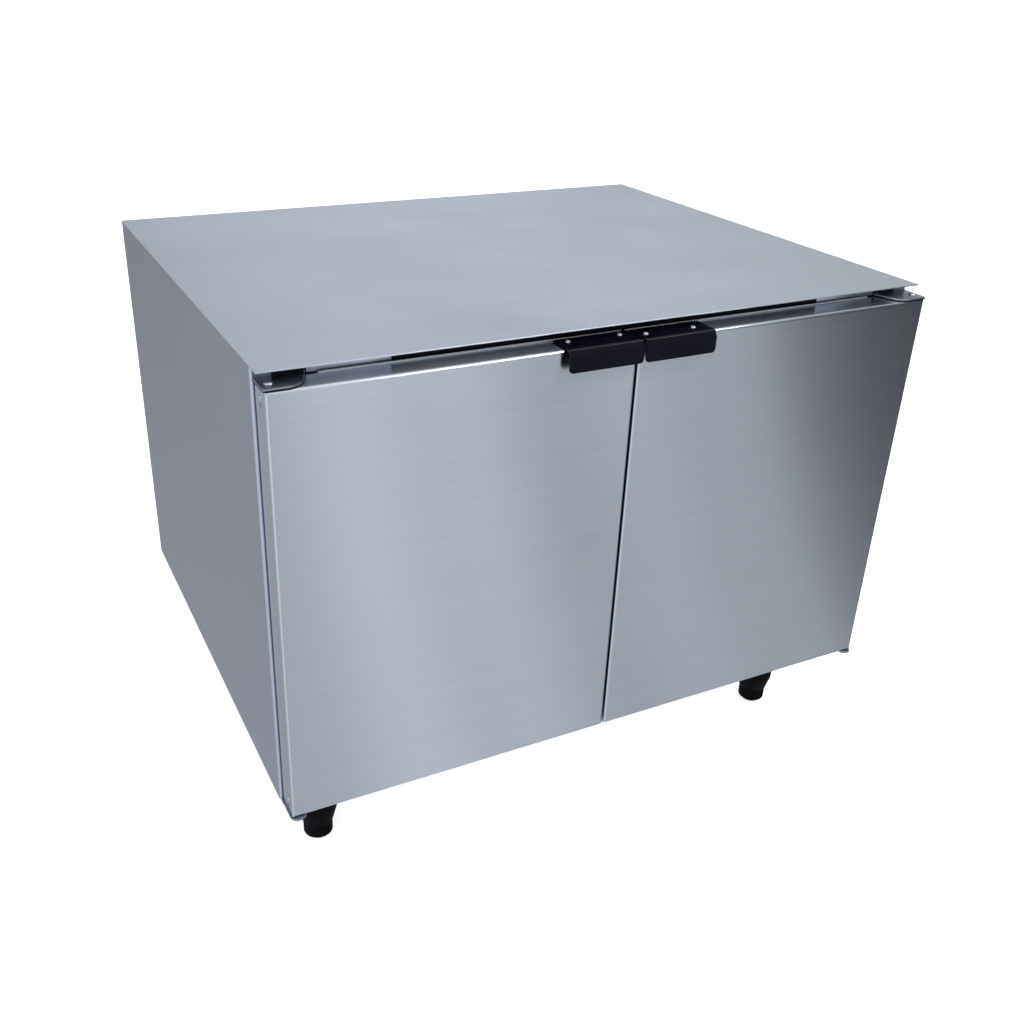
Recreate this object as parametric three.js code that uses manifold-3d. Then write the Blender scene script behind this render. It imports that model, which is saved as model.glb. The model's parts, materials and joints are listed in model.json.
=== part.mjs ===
// A two-door undercounter refrigerator: an insulated stainless cabinet on four adjustable legs,
// two hinged doors with bent handles, and a condensing unit behind a louvred back panel.
// Millimetres, +Z up, doors towards -Y, +X to the right of someone facing the doors.
// The origin is on the floor, under the middle of the bounding box.
import * as THREE from "three";
import { mergeVertices } from "three/addons/utils/BufferGeometryUtils.js";
import Module from "manifold-3d";

const wasm = await Module();
wasm.setup();

// ---- driving dimensions ----
const WIDTH = 914.4;
const BODY_DEPTH = 734; // top sheet, front edge to back edge
const BODY_HEIGHT = 580.4; // underside of the cabinet to the top surface
const LEG_HEIGHT = 152.4;
const HANDLE_REACH = 29; // handle face in front of the top sheet
const TOP_SHEET = 1.5;
const SHEET = 1.2; // every other folded sheet
const GAP = 0.3; // clearance between pieces that touch
const CAVITY_HALF_WIDTH = 414;
const FLOOR_WALL = 40; // insulated floor, underside to cavity
const CEILING_WALL = 42;
const CAVITY_DEPTH = 491;
const REAR_WALL = 41;
const DOOR_THICKNESS = 36.7;
const MEETING_X = -2.5; // the doors meet slightly left of the middle

// ---- planes worked out from them ----
const SIDE_X = WIDTH / 2;
const BODY_BACK = (BODY_DEPTH + HANDLE_REACH) / 2;
const TOP_FRONT = BODY_BACK - BODY_DEPTH;
const HANDLE_FACE = TOP_FRONT - HANDLE_REACH;
const DOOR_FACE = TOP_FRONT - 18;
const DOOR_BACK = DOOR_FACE + DOOR_THICKNESS;
const CABINET_FRONT = TOP_FRONT + 23;
const CAVITY_BACK = CABINET_FRONT + CAVITY_DEPTH;
const FOAM_BACK = CAVITY_BACK + REAR_WALL;
const BODY_BOTTOM = LEG_HEIGHT;
const BODY_TOP = BODY_BOTTOM + BODY_HEIGHT;
const UNDER_TOP = BODY_TOP - TOP_SHEET - GAP;
const CAVITY_FLOOR = BODY_BOTTOM + FLOOR_WALL;
const CAVITY_CEILING = BODY_TOP - CEILING_WALL;
const DOOR_TOP = BODY_TOP - 16;
const DOOR_BOTTOM = BODY_BOTTOM + 2.8;
const DOOR_SIDE_X = SIDE_X - 4;
const FRAME_FRONT = CABINET_FRONT + SHEET + GAP; // behind the face frame
const PIN_X = 445;
const PIN_Y = TOP_FRONT - 2.5;

const FINISH = {
  stainless: { color: 0xa9adb6, roughness: 0.32, metalness: 1 },
  zinc: { color: 0x9fa3a6, roughness: 0.45, metalness: 1 },
  black_coat: { color: 0x14141a, roughness: 0.18, metalness: 0 },
  black_plastic: { color: 0x0e0e10, roughness: 0.5, metalness: 0 },
  grey_plastic: { color: 0x8d9196, roughness: 0.5, metalness: 0 },
  white_plastic: { color: 0xe9eaec, roughness: 0.45, metalness: 0 },
  gasket: { color: 0x1b1c1f, roughness: 0.7, metalness: 0 },
  foam: { color: 0xe2cf9a, roughness: 0.9, metalness: 0 },
  aluminium: { color: 0xc4c7ca, roughness: 0.4, metalness: 1 },
  black_paint: { color: 0x18181a, roughness: 0.4, metalness: 0 },
  white_wire: { color: 0xe6e8ea, roughness: 0.35, metalness: 0 },
};

const refrigerator = new THREE.Group();
const materials = {};
for (const [finish, look] of Object.entries(FINISH)) {
  materials[finish] = new THREE.MeshStandardMaterial(look);
}

function piece(name, geometry, finish) {
  const mesh = new THREE.Mesh(geometry, materials[finish]);
  mesh.name = name;
  refrigerator.add(mesh);
}

// ---- shape helpers ----
function block([x0, x1], [y0, y1], [z0, z1]) {
  const box = new THREE.BoxGeometry(x1 - x0, y1 - y0, z1 - z0);
  return box.translate((x0 + x1) / 2, (y0 + y1) / 2, (z0 + z1) / 2);
}

// A closed outline from corners [u, v, radius]; a corner with a radius becomes an arc.
function outline(corners, steps = 5) {
  const points = [];
  corners.forEach(([u, v, radius = 0], index) => {
    const corner = new THREE.Vector2(u, v);
    if (radius <= 0) {
      points.push(corner);
      return;
    }
    const back = new THREE.Vector2(...corners.at(index - 1)).sub(corner).normalize();
    const ahead = new THREE.Vector2(...corners[(index + 1) % corners.length]).sub(corner).normalize();
    const half = Math.acos(back.dot(ahead)) / 2;
    const centre = back.clone().add(ahead).setLength(radius / Math.sin(half)).add(corner);
    const from = back.multiplyScalar(radius / Math.tan(half)).add(corner).sub(centre).angle();
    const sweep = Math.PI - 2 * half;
    const turn = Math.sign(ahead.cross(centre.clone().sub(corner)));
    for (let step = 0; step <= steps; step++) {
      const angle = from + (turn * sweep * step) / steps;
      points.push(new THREE.Vector2(Math.cos(angle), Math.sin(angle)).multiplyScalar(radius).add(centre));
    }
  });
  return new THREE.Shape(points);
}

function rectangle([u0, u1], [v0, v1], radius = 0) {
  return outline([[u0, v0, radius], [u1, v0, radius], [u1, v1, radius], [u0, v1, radius]]);
}

// Extrudes an outline along an axis: (y, z) along x, (x, z) along y, or (x, y) along z.
const X = new THREE.Vector3(1, 0, 0);
const Y = new THREE.Vector3(0, 1, 0);
const Z = new THREE.Vector3(0, 0, 1);
function prism(shape, axis, [from, to]) {
  const extruded = new THREE.ExtrudeGeometry(shape, { depth: to - from, bevelEnabled: false });
  const turn = new THREE.Matrix4();
  if (axis === "z") return extruded.translate(0, 0, from);
  if (axis === "x") return extruded.applyMatrix4(turn.makeBasis(Y, Z, X)).translate(from, 0, 0);
  return extruded.applyMatrix4(turn.makeBasis(X, Z, Y.clone().negate())).translate(0, to, 0);
}

// A turned solid about a vertical axis through (x, y), from [radius, z] points that end on the axis.
function turned(profile, [x, y], segments = 24) {
  const area = profile.reduce((sum, [r, z], index) => {
    const [nextR, nextZ] = profile[(index + 1) % profile.length];
    return sum + r * nextZ - nextR * z;
  }, 0);
  const ordered = area > 0 ? profile : [...profile].reverse();
  const lathe = new THREE.LatheGeometry(ordered.map((point) => new THREE.Vector2(...point)), segments);
  return lathe.rotateX(Math.PI / 2).translate(x, y, 0);
}

// The same, about an axis along Y through (x, z); the profile is [radius, y].
function turnedAlongY(profile, [x, z], segments = 24) {
  const flipped = profile.map(([radius, y]) => [radius, -y]);
  return turned(flipped, [0, 0], segments).rotateX(Math.PI / 2).translate(x, 0, z);
}

function rod([x, y], [z0, z1], radius, segments = 24) {
  return turned([[0, z0], [radius, z0], [radius, z1], [0, z1]], [x, y], segments);
}

function rodAlongY([x, z], [y0, y1], radius, segments = 24) {
  return turnedAlongY([[0, y0], [radius, y0], [radius, y1], [0, y1]], [x, z], segments);
}

function rodAlongX([y, z], [x0, x1], radius, segments = 8) {
  return rod([0, 0], [x0, x1], radius, segments).rotateY(Math.PI / 2).translate(0, y, z);
}

// A round tube, solid inside, along a curve.
function tube(path, radius, steps, sides = 8) {
  const section = Array.from({ length: sides }, (_, side) => {
    const angle = (side * 2 * Math.PI) / sides;
    return new THREE.Vector2(radius * Math.cos(angle), radius * Math.sin(angle));
  });
  const shape = new THREE.Shape(section);
  return new THREE.ExtrudeGeometry(shape, { steps, extrudePath: path, bevelEnabled: false });
}

// A bent strip of sheet: path is its outer side as [u, v, bend radius], thickness is laid to its left.
function strip(path, thickness) {
  const directions = path
    .slice(1)
    .map(([u, v], i) => new THREE.Vector2(u - path[i][0], v - path[i][1]).normalize());
  const inner = path.map(([u, v, radius = 0], i) => {
    const before = directions[Math.max(i - 1, 0)];
    const after = directions[Math.min(i, directions.length - 1)];
    const miter = new THREE.Vector2(-before.y - after.y, before.x + after.x).normalize();
    const reach = thickness / (-before.y * miter.x + before.x * miter.y);
    const tighter = radius > thickness ? radius - thickness : radius + thickness;
    return [u + miter.x * reach, v + miter.y * reach, radius ? tighter : 0];
  });
  return outline([...path, ...inner.reverse()]);
}

// ---- joins and cuts ----
function solid(geometry) {
  const bare = geometry.clone().deleteAttribute("normal").deleteAttribute("uv");
  const { attributes, index } = mergeVertices(bare, 1e-4);
  const vertProperties = attributes.position.array;
  const triVerts = new Uint32Array(index.array);
  return new wasm.Manifold(new wasm.Mesh({ numProp: 3, vertProperties, triVerts }));
}

function geometryOf(body) {
  const { vertProperties, triVerts } = body.getMesh();
  const geometry = new THREE.BufferGeometry();
  geometry.setAttribute("position", new THREE.BufferAttribute(vertProperties, 3));
  geometry.setIndex(new THREE.BufferAttribute(triVerts, 1));
  return geometry.toNonIndexed();
}

function join(first, ...others) {
  return geometryOf(others.reduce((body, other) => body.add(solid(other)), solid(first)));
}

function cut(first, ...tools) {
  return geometryOf(tools.reduce((body, tool) => body.subtract(solid(tool)), solid(first)));
}

function common(first, second) {
  return geometryOf(solid(first).intersect(solid(second)));
}

const between = (middle, size) => [middle - size / 2, middle + size / 2];
const spread = (half) => [-half, half];
const shrink = ([low, high], by) => [low + by, high - by];

// ---- cabinet shell ----
const BEND = 3.5; // outside radius of the stainless folds
const FRONT_RETURN = 17;
const LEG_X = 384;
const LEG_Y = [TOP_FRONT + 107, BODY_BACK - 84];
const LEG_STUD_RADIUS = 6;
const LEG_STUD_TOP = BODY_BOTTOM + 10;
const legPlaces = [
  { corner: "front_left", at: [-LEG_X, LEG_Y[0]] },
  { corner: "front_right", at: [LEG_X, LEG_Y[0]] },
  { corner: "rear_left", at: [-LEG_X, LEG_Y[1]] },
  { corner: "rear_right", at: [LEG_X, LEG_Y[1]] },
];

function sidePanel(side) {
  const outer = side * SIDE_X;
  const inner = side * (SIDE_X - SHEET);
  const lip = side * (SIDE_X - FRONT_RETURN);
  const plan = outline([
    [lip, CABINET_FRONT],
    [outer, CABINET_FRONT, BEND],
    [outer, BODY_BACK, BEND],
    [lip, BODY_BACK],
    [lip, BODY_BACK - SHEET],
    [inner, BODY_BACK - SHEET, BEND - SHEET],
    [inner, CABINET_FRONT + SHEET, BEND - SHEET],
    [lip, CABINET_FRONT + SHEET],
  ]);
  return prism(plan, "z", [BODY_BOTTOM, UNDER_TOP]);
}

piece(
  "top_panel",
  block(spread(SIDE_X), [TOP_FRONT, BODY_BACK], [BODY_TOP - TOP_SHEET, BODY_TOP]),
  "stainless",
);
piece("left_side_panel", sidePanel(-1), "stainless");
piece("right_side_panel", sidePanel(1), "stainless");

const INSIDE_X = SIDE_X - SHEET - GAP;
const bottomPlate = prism(
  rectangle(spread(INSIDE_X), [FRAME_FRONT, BODY_BACK - SHEET - GAP], BEND - SHEET),
  "z",
  [BODY_BOTTOM, BODY_BOTTOM + SHEET],
);

function studHoles(places, top, clearance = GAP) {
  return places.map(({ at }) => rod(at, [BODY_BOTTOM - 1, top], LEG_STUD_RADIUS + clearance));
}
piece("bottom_panel", cut(bottomPlate, ...studHoles(legPlaces, BODY_BOTTOM + 3)), "zinc");

// ---- louvred back panel ----
const LOUVRE_WIDTH = 130;
const LOUVRE_HEIGHT = 9;
const LOUVRE_PITCH = 26;
const LOUVRE_ROWS = 9;
const LOUVRE_LOW = BODY_BOTTOM + 48;
const LOUVRE_COLUMNS = [-275, -125, 125, 275];
const LOUVRE_REACH = 9; // how far a blade slants in behind the panel
const INLET = { x: 0, z: BODY_BOTTOM + 60, width: 29, height: 21 };

function louvres() {
  const slots = [];
  const blades = [];
  for (const x of LOUVRE_COLUMNS) {
    for (let row = 0; row < LOUVRE_ROWS; row++) {
      const low = LOUVRE_LOW + row * LOUVRE_PITCH;
      const high = low + LOUVRE_HEIGHT;
      slots.push(block(between(x, LOUVRE_WIDTH), [BODY_BACK - 2 * SHEET, BODY_BACK + 1], [low, high]));
      const bladeSection = outline([
        [BODY_BACK - SHEET / 2, high - 0.5],
        [BODY_BACK - SHEET / 2, high + 0.8],
        [BODY_BACK - LOUVRE_REACH, low + 1.3],
        [BODY_BACK - LOUVRE_REACH, low],
      ]);
      blades.push(prism(bladeSection, "x", between(x, LOUVRE_WIDTH + 2)));
    }
  }
  return { slots, blades };
}

function backPanel() {
  const { slots, blades } = louvres();
  const plate = block(
    spread(SIDE_X - FRONT_RETURN - GAP),
    [BODY_BACK - SHEET, BODY_BACK],
    [BODY_BOTTOM + GAP, UNDER_TOP],
  );
  const inletHole = block(
    between(INLET.x, INLET.width + 2 * GAP),
    [BODY_BACK - 2 * SHEET, BODY_BACK + 1],
    between(INLET.z, INLET.height + 2 * GAP),
  );
  return join(cut(plate, ...slots, inletHole), ...blades);
}
piece("back_panel", backPanel(), "stainless");

// ---- insulation, liner, face frame, breaker strip and mullion ----
const LINER = 1;
const cavityX = spread(CAVITY_HALF_WIDTH);
const cavityZ = [CAVITY_FLOOR, CAVITY_CEILING];
const DRAIN = { x: -40, y: CAVITY_BACK - 12, z: CAVITY_CEILING - 128, radius: 5 };
const drainHole = rodAlongY([DRAIN.x, DRAIN.z], [CAVITY_BACK - 5, FOAM_BACK + 5], DRAIN.radius + GAP);

const foamBlock = prism(
  rectangle(spread(INSIDE_X), [FRAME_FRONT, FOAM_BACK], BEND - SHEET),
  "z",
  [BODY_BOTTOM + SHEET + GAP, UNDER_TOP],
);
const linerPocket = block(
  shrink(cavityX, -LINER - GAP),
  [CABINET_FRONT, CAVITY_BACK + LINER + GAP],
  shrink(cavityZ, -LINER - GAP),
);
const frontLegs = legPlaces.filter(({ at }) => at[1] < FOAM_BACK);
const foamStudHoles = studHoles(frontLegs, LEG_STUD_TOP + 2);
piece("cabinet_insulation", cut(foamBlock, linerPocket, drainHole, ...foamStudHoles), "foam");

const linerShell = cut(
  block(shrink(cavityX, -LINER), [FRAME_FRONT, CAVITY_BACK + LINER], shrink(cavityZ, -LINER)),
  block(cavityX, [CABINET_FRONT, CAVITY_BACK], cavityZ),
  drainHole,
);
piece("inner_liner", linerShell, "aluminium");

const faceFrame = cut(
  block(
    spread(SIDE_X - FRONT_RETURN - GAP),
    [CABINET_FRONT, CABINET_FRONT + SHEET],
    [BODY_BOTTOM, UNDER_TOP],
  ),
  block(cavityX, [CABINET_FRONT - 1, FRAME_FRONT], cavityZ),
);
piece("face_frame", faceFrame, "stainless");

const BREAKER = 4;
const BREAKER_DEPTH = 30;
const breakerX = shrink(cavityX, GAP);
const breakerZ = shrink(cavityZ, GAP);
const breakerRing = cut(
  block(breakerX, [CABINET_FRONT, CABINET_FRONT + BREAKER_DEPTH], breakerZ),
  block(
    shrink(breakerX, BREAKER),
    [CABINET_FRONT - 1, CABINET_FRONT + BREAKER_DEPTH + 1],
    shrink(breakerZ, BREAKER),
  ),
);
piece("breaker_strip", breakerRing, "grey_plastic");

const MULLION_HALF = 30;
const MULLION_BACK = CABINET_FRONT + 44;
const mullionY = [CABINET_FRONT, MULLION_BACK];
const mullionZ = shrink(breakerZ, BREAKER + GAP);
const mullionOuter = prism(rectangle(spread(MULLION_HALF), mullionY, BEND), "z", mullionZ);
const mullionInner = prism(
  rectangle(spread(MULLION_HALF - SHEET), shrink(mullionY, SHEET), BEND - SHEET),
  "z",
  shrink(mullionZ, -1),
);
piece("centre_mullion", cut(mullionOuter, mullionInner), "stainless");

// ---- hinges ----
const PIN_LAND = 10; // bracket left round a hinge pin's axis
const BRACKET = 3;
const TOP_BRACKET = 2;
const BRACKET_INNER_X = 399;
const BRACKET_OUTER_X = SIDE_X - 2;
const TOP_PLATE_LOW = DOOR_TOP + 1.5;
const TOP_PLATE_HIGH = TOP_PLATE_LOW + TOP_BRACKET;
const TOP_PIN_RADIUS = 4;
const LOW_PLATE_HIGH = DOOR_BOTTOM - 0.7;
const LOW_PLATE_LOW = LOW_PLATE_HIGH - BRACKET;
const LOW_PIN_RADIUS = 4.5;
const PIN_REACH = 22; // pin length inside the door
const RUNNING = 0.1; // radial clearance between a pin and what turns on it

const byValue = (a, b) => a - b;

function topBracket(side) {
  const mountY = CABINET_FRONT - GAP;
  const plan = outline([
    [side * BRACKET_OUTER_X, mountY],
    [side * BRACKET_OUTER_X, DOOR_FACE + 1, 1.5],
    [side * (BRACKET_INNER_X + 13), DOOR_FACE + 1, 22],
    [side * BRACKET_INNER_X, mountY],
  ]);
  const flange = block(
    [side * (PIN_X - PIN_LAND), side * BRACKET_OUTER_X].sort(byValue),
    [mountY - TOP_BRACKET, mountY],
    [TOP_PLATE_LOW, UNDER_TOP - 1],
  );
  const plate = prism(plan, "z", [TOP_PLATE_LOW, TOP_PLATE_HIGH]);
  const reach = [TOP_PLATE_LOW - 1, TOP_PLATE_HIGH + 1];
  const hole = rod([side * PIN_X, PIN_Y], reach, TOP_PIN_RADIUS + RUNNING);
  return cut(join(plate, flange), hole);
}

// A narrow tongue under the door's corner steps down at the cabinet front, where it widens into
// the plate beneath the bottom panel.
function lowerBracket(side) {
  const step = CABINET_FRONT - 1;
  const footLow = BODY_BOTTOM - GAP - BRACKET;
  const back = CABINET_FRONT + 44;
  const nose = TOP_FRONT - 21.5;
  const profile = outline([
    [nose - 1, LOW_PLATE_HIGH],
    [step, LOW_PLATE_HIGH],
    [step, BODY_BOTTOM - GAP],
    [back, BODY_BOTTOM - GAP],
    [back, footLow],
    [step - 5, footLow],
    [step - 8, LOW_PLATE_LOW],
    [nose - 1, LOW_PLATE_LOW],
  ]);
  const plan = outline([
    [side * BRACKET_OUTER_X, back],
    [side * BRACKET_OUTER_X, nose, 9],
    [side * (PIN_X - PIN_LAND), nose, 9],
    [side * (PIN_X - PIN_LAND), CABINET_FRONT - 8, 6],
    [side * BRACKET_INNER_X, CABINET_FRONT + 4, 4],
    [side * BRACKET_INNER_X, back],
  ]);
  const bent = prism(profile, "x", [Math.min(side * SIDE_X, 0), Math.max(side * SIDE_X, 0)]);
  const trimmed = common(bent, prism(plan, "z", [footLow - 1, LOW_PLATE_HIGH + 1]));
  const reach = [LOW_PLATE_LOW - 1, LOW_PLATE_HIGH + 1];
  const hole = rod([side * PIN_X, PIN_Y], reach, LOW_PIN_RADIUS + RUNNING);
  return cut(trimmed, hole);
}

function topPin(side) {
  const seat = TOP_PLATE_HIGH + GAP;
  const head = [[TOP_PIN_RADIUS, seat], [5, seat], [4.6, seat + 1.2], [3.2, seat + 2.1], [0, seat + 2.5]];
  const tip = DOOR_TOP - PIN_REACH;
  return turned([[0, tip], [TOP_PIN_RADIUS, tip], ...head], [side * PIN_X, PIN_Y], 16);
}

function lowerPin(side) {
  const seat = LOW_PLATE_LOW - GAP;
  const tip = DOOR_BOTTOM + PIN_REACH;
  const head = [[0, seat - 2], [6, seat - 2], [7, seat - 1], [7, seat]];
  const shank = [[LOW_PIN_RADIUS, seat], [LOW_PIN_RADIUS, tip], [0, tip]];
  return turned([...head, ...shank], [side * PIN_X, PIN_Y], 16);
}

// ---- doors ----
const GASKET_INSET = 2;
const GASKET_WIDTH = 16;
const DOOR_LINER = 4;
const LINER_RAISE_INSET = GASKET_INSET + GASKET_WIDTH + 6;
const BUSHING_RADIUS = 7;
const BUSHING_LOW = DOOR_BOTTOM - 0.4; // it carries the door on the lower bracket
const BUSHING_TOP = DOOR_BOTTOM + PIN_REACH + 4;
const HANDLE_SHEET = 2.5;
const HANDLE_X = [1.45, 102.2]; // near and far ends, from the middle of the cabinet
const HANDLE_HEIGHT = 27.8;
const LIP_CLEAR = 60; // keeps the door's raised rear lip off the hinge bracket as the door swings

// The door's outer form, drawn in by an inset, with its front edges rounded.
function doorForm([x0, x1], inset, back) {
  const face = DOOR_FACE + inset;
  const radius = BEND - Math.min(inset, SHEET);
  const [left, right] = shrink([x0, x1], inset);
  const [low, high] = shrink([DOOR_BOTTOM, DOOR_TOP], inset);
  const plan = outline([[left, back], [left, face, radius], [right, face, radius], [right, back]]);
  const profile = outline([[back, low], [face, low, radius], [face, high, radius], [back, high]]);
  return common(prism(plan, "z", [low - 1, high + 1]), prism(profile, "x", [left - 1, right + 1]));
}

function ring(x, z, width, y) {
  const inner = block(shrink(x, width), [y[0] - 1, y[1] + 1], shrink(z, width));
  return cut(block(x, y, z), inner);
}

function handle(side) {
  const [left, right] = HANDLE_X.map((x) => side * x).sort(byValue);
  const top = DOOR_TOP + GAP + HANDLE_SHEET;
  const low = top - HANDLE_HEIGHT;
  const section = strip(
    [[HANDLE_FACE, low], [HANDLE_FACE, top - 7.7, 3], [TOP_FRONT - 24, top, 3], [TOP_FRONT + 13, top]],
    -HANDLE_SHEET,
  );
  const front = outline([[left, low, 5], [right, low, 5], [right, top + 1], [left, top + 1]]);
  return common(prism(section, "x", [left, right]), prism(front, "y", [HANDLE_FACE - 1, TOP_FRONT + 20]));
}

function door(side, name) {
  const x = [side * DOOR_SIDE_X, MEETING_X + side * 1.5].sort(byValue);
  const z = [DOOR_BOTTOM, DOOR_TOP];
  const pin = [side * PIN_X, PIN_Y];
  const topHole = rod(pin, [DOOR_TOP - PIN_REACH - 1, DOOR_TOP + 1], TOP_PIN_RADIUS + RUNNING);
  const bushingHole = rod(pin, [DOOR_BOTTOM - 1, BUSHING_TOP + GAP], BUSHING_RADIUS + GAP);
  const lipX = [x[side < 0 ? 1 : 0], side * (PIN_X - LIP_CLEAR)].sort(byValue);
  const lip = block(lipX, [DOOR_BACK - SHEET, DOOR_BACK], [DOOR_TOP - SHEET, DOOR_TOP + 1.7]);

  const pan = cut(doorForm(x, 0, DOOR_BACK), doorForm(x, SHEET, DOOR_BACK + 1), topHole, bushingHole);
  piece(`${name}_door_skin`, join(pan, lip), "stainless");

  const coreBack = DOOR_BACK - DOOR_LINER;
  piece(
    `${name}_door_insulation`,
    cut(doorForm(x, SHEET + GAP, coreBack), topHole, bushingHole),
    "foam",
  );

  const linerX = shrink(x, SHEET + GAP);
  const linerZ = shrink(z, SHEET + GAP);
  const linerPlate = block(linerX, [coreBack + GAP, DOOR_BACK], linerZ);
  const raised = block(
    shrink(x, LINER_RAISE_INSET),
    [DOOR_BACK - 1, CABINET_FRONT - 1],
    shrink(z, LINER_RAISE_INSET),
  );
  piece(`${name}_door_liner`, join(linerPlate, raised), "white_plastic");

  const sealX = shrink(x, GASKET_INSET);
  const sealZ = shrink(z, GASKET_INSET);
  const base = ring(sealX, sealZ, GASKET_WIDTH, [DOOR_BACK + GAP, DOOR_BACK + 2]);
  const bulbY = [DOOR_BACK + 1.9, CABINET_FRONT - GAP];
  const bulb = ring(shrink(sealX, 2.5), shrink(sealZ, 2.5), GASKET_WIDTH - 5, bulbY);
  piece(`${name}_door_gasket`, join(base, bulb), "gasket");

  const boreRadius = LOW_PIN_RADIUS + RUNNING;
  const boreTop = DOOR_BOTTOM + PIN_REACH + 1;
  const bore = [[0, boreTop], [boreRadius, boreTop], [boreRadius, BUSHING_LOW]];
  const outside = [[BUSHING_RADIUS, BUSHING_LOW], [BUSHING_RADIUS, BUSHING_TOP], [0, BUSHING_TOP]];
  piece(`${name}_door_bushing`, turned([...bore, ...outside], pin), "white_plastic");
  piece(`${name}_door_handle`, handle(side), "black_coat");
}

for (const [side, name] of [[-1, "left"], [1, "right"]]) {
  piece(`${name}_top_hinge_bracket`, topBracket(side), "stainless");
  piece(`${name}_top_hinge_pin`, topPin(side), "stainless");
  piece(`${name}_lower_hinge_bracket`, lowerBracket(side), "stainless");
  piece(`${name}_lower_hinge_pin`, lowerPin(side), "stainless");
  door(side, name);
}

// ---- legs ----
const LEG_SEGMENTS = 16;
const FOOT_RADIUS = 20.5;
const FOOT_HIGH = 24; // height of the foot's turning part
const THREAD_RADIUS = 9;
const THREAD_HIGH = 76;
const LEG_TOP = BODY_BOTTOM - GAP;

const FLANGE_RADIUS = 38;
const legProfile = [
  [0, LEG_STUD_TOP],
  [LEG_STUD_RADIUS, LEG_STUD_TOP],
  [LEG_STUD_RADIUS, LEG_TOP],
  [FLANGE_RADIUS, LEG_TOP],
  [FLANGE_RADIUS, LEG_TOP - 5],
  [30, LEG_TOP - 9],
  [27.5, 48],
  [FOOT_RADIUS + 0.5, FOOT_HIGH + GAP],
  [THREAD_RADIUS + 0.5, FOOT_HIGH + GAP],
  [THREAD_RADIUS + 0.5, THREAD_HIGH + 6],
  [0, THREAD_HIGH + 6],
];
const FOOT_FLAT = 14; // radius of the flat end that stands on the floor
const footProfile = [
  [0, 0],
  [FOOT_FLAT, 0],
  [FOOT_RADIUS, 6.5],
  [FOOT_RADIUS, FOOT_HIGH],
  [THREAD_RADIUS, FOOT_HIGH],
  [THREAD_RADIUS, THREAD_HIGH],
  [0, THREAD_HIGH],
];
for (const { corner, at } of legPlaces) {
  piece(`${corner}_leg`, turned(legProfile, at, LEG_SEGMENTS), "black_plastic");
  piece(`${corner}_foot`, turned(footProfile, at, LEG_SEGMENTS), "black_plastic");
}

// ---- fans, shared by the evaporator and the condenser ----
const BLADE_SHEET = 1.6;
const BLADE_PITCH = 24; // degrees
function fanBlades({ x, z, y, radius, hub, depth, bore, count }) {
  const hubSolid = rodAlongY([0, 0], spread(depth / 2), hub);
  const blades = [];
  for (let index = 0; index < count; index++) {
    const root = hub - 2;
    const petal = outline([
      [root, -hub * 0.45],
      [radius * 0.8, -radius * 0.34, radius * 0.12],
      [radius, -radius * 0.05, radius * 0.1],
      [radius * 0.88, radius * 0.3, radius * 0.12],
      [root, hub * 0.5],
    ], 3);
    const blade = prism(petal, "y", spread(BLADE_SHEET / 2));
    blade.rotateX(THREE.MathUtils.degToRad(BLADE_PITCH));
    blades.push(blade.rotateY((index * 2 * Math.PI) / count));
  }
  const boreHole = rodAlongY([0, 0], spread(depth), bore);
  return cut(join(hubSolid, ...blades), boreHole).translate(x, y, z);
}

// A motor whose shaft points towards -Y, hung on a flat strap from z0 to z1.
function fanMotor({ x, z, body, radius, shaftEnd, shaftRadius, strap }) {
  const can = rodAlongY([x, z], body, radius);
  const shaft = rodAlongY([x, z], [shaftEnd, body[0] + 2], shaftRadius, 12);
  const band = block(between(x, 16), [body[1] - 3, body[1] - 1], strap);
  return join(can, shaft, band);
}

// ---- evaporator ----
const EVAPORATOR = { half: 200, low: CAVITY_CEILING - 138, front: CAVITY_BACK - 112 };
const evaporatorHigh = CAVITY_CEILING - GAP;
const evaporatorFan = { x: 0, z: (EVAPORATOR.low + evaporatorHigh) / 2, radius: 56 };
const FAN_OPENING = evaporatorFan.radius + 5;

const coverOuter = block(
  spread(EVAPORATOR.half),
  [EVAPORATOR.front, CAVITY_BACK - GAP],
  [EVAPORATOR.low, evaporatorHigh],
);
const coverInner = block(
  spread(EVAPORATOR.half - SHEET),
  [EVAPORATOR.front + SHEET, CAVITY_BACK + 1],
  [EVAPORATOR.low + SHEET, evaporatorHigh - SHEET],
);
const fanOpening = rodAlongY(
  [evaporatorFan.x, evaporatorFan.z],
  [EVAPORATOR.front - 1, EVAPORATOR.front + 3],
  FAN_OPENING,
  36,
);
const airSlots = [-1, 1].flatMap((side) =>
  [0, 1, 2].map((row) => {
    const low = EVAPORATOR.low + 30 + row * 30;
    const middle = (side * (EVAPORATOR.half + FAN_OPENING)) / 2;
    return block(between(middle, 90), [EVAPORATOR.front - 1, EVAPORATOR.front + 3], [low, low + 8]);
  }),
);
piece("evaporator_cover", cut(coverOuter, coverInner, fanOpening, ...airSlots), "aluminium");

const COIL_BEND = 11;
const COIL_TUBE = 4; // radius
const COIL_ROW = 56;
const END_PLATE = 2;

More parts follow.
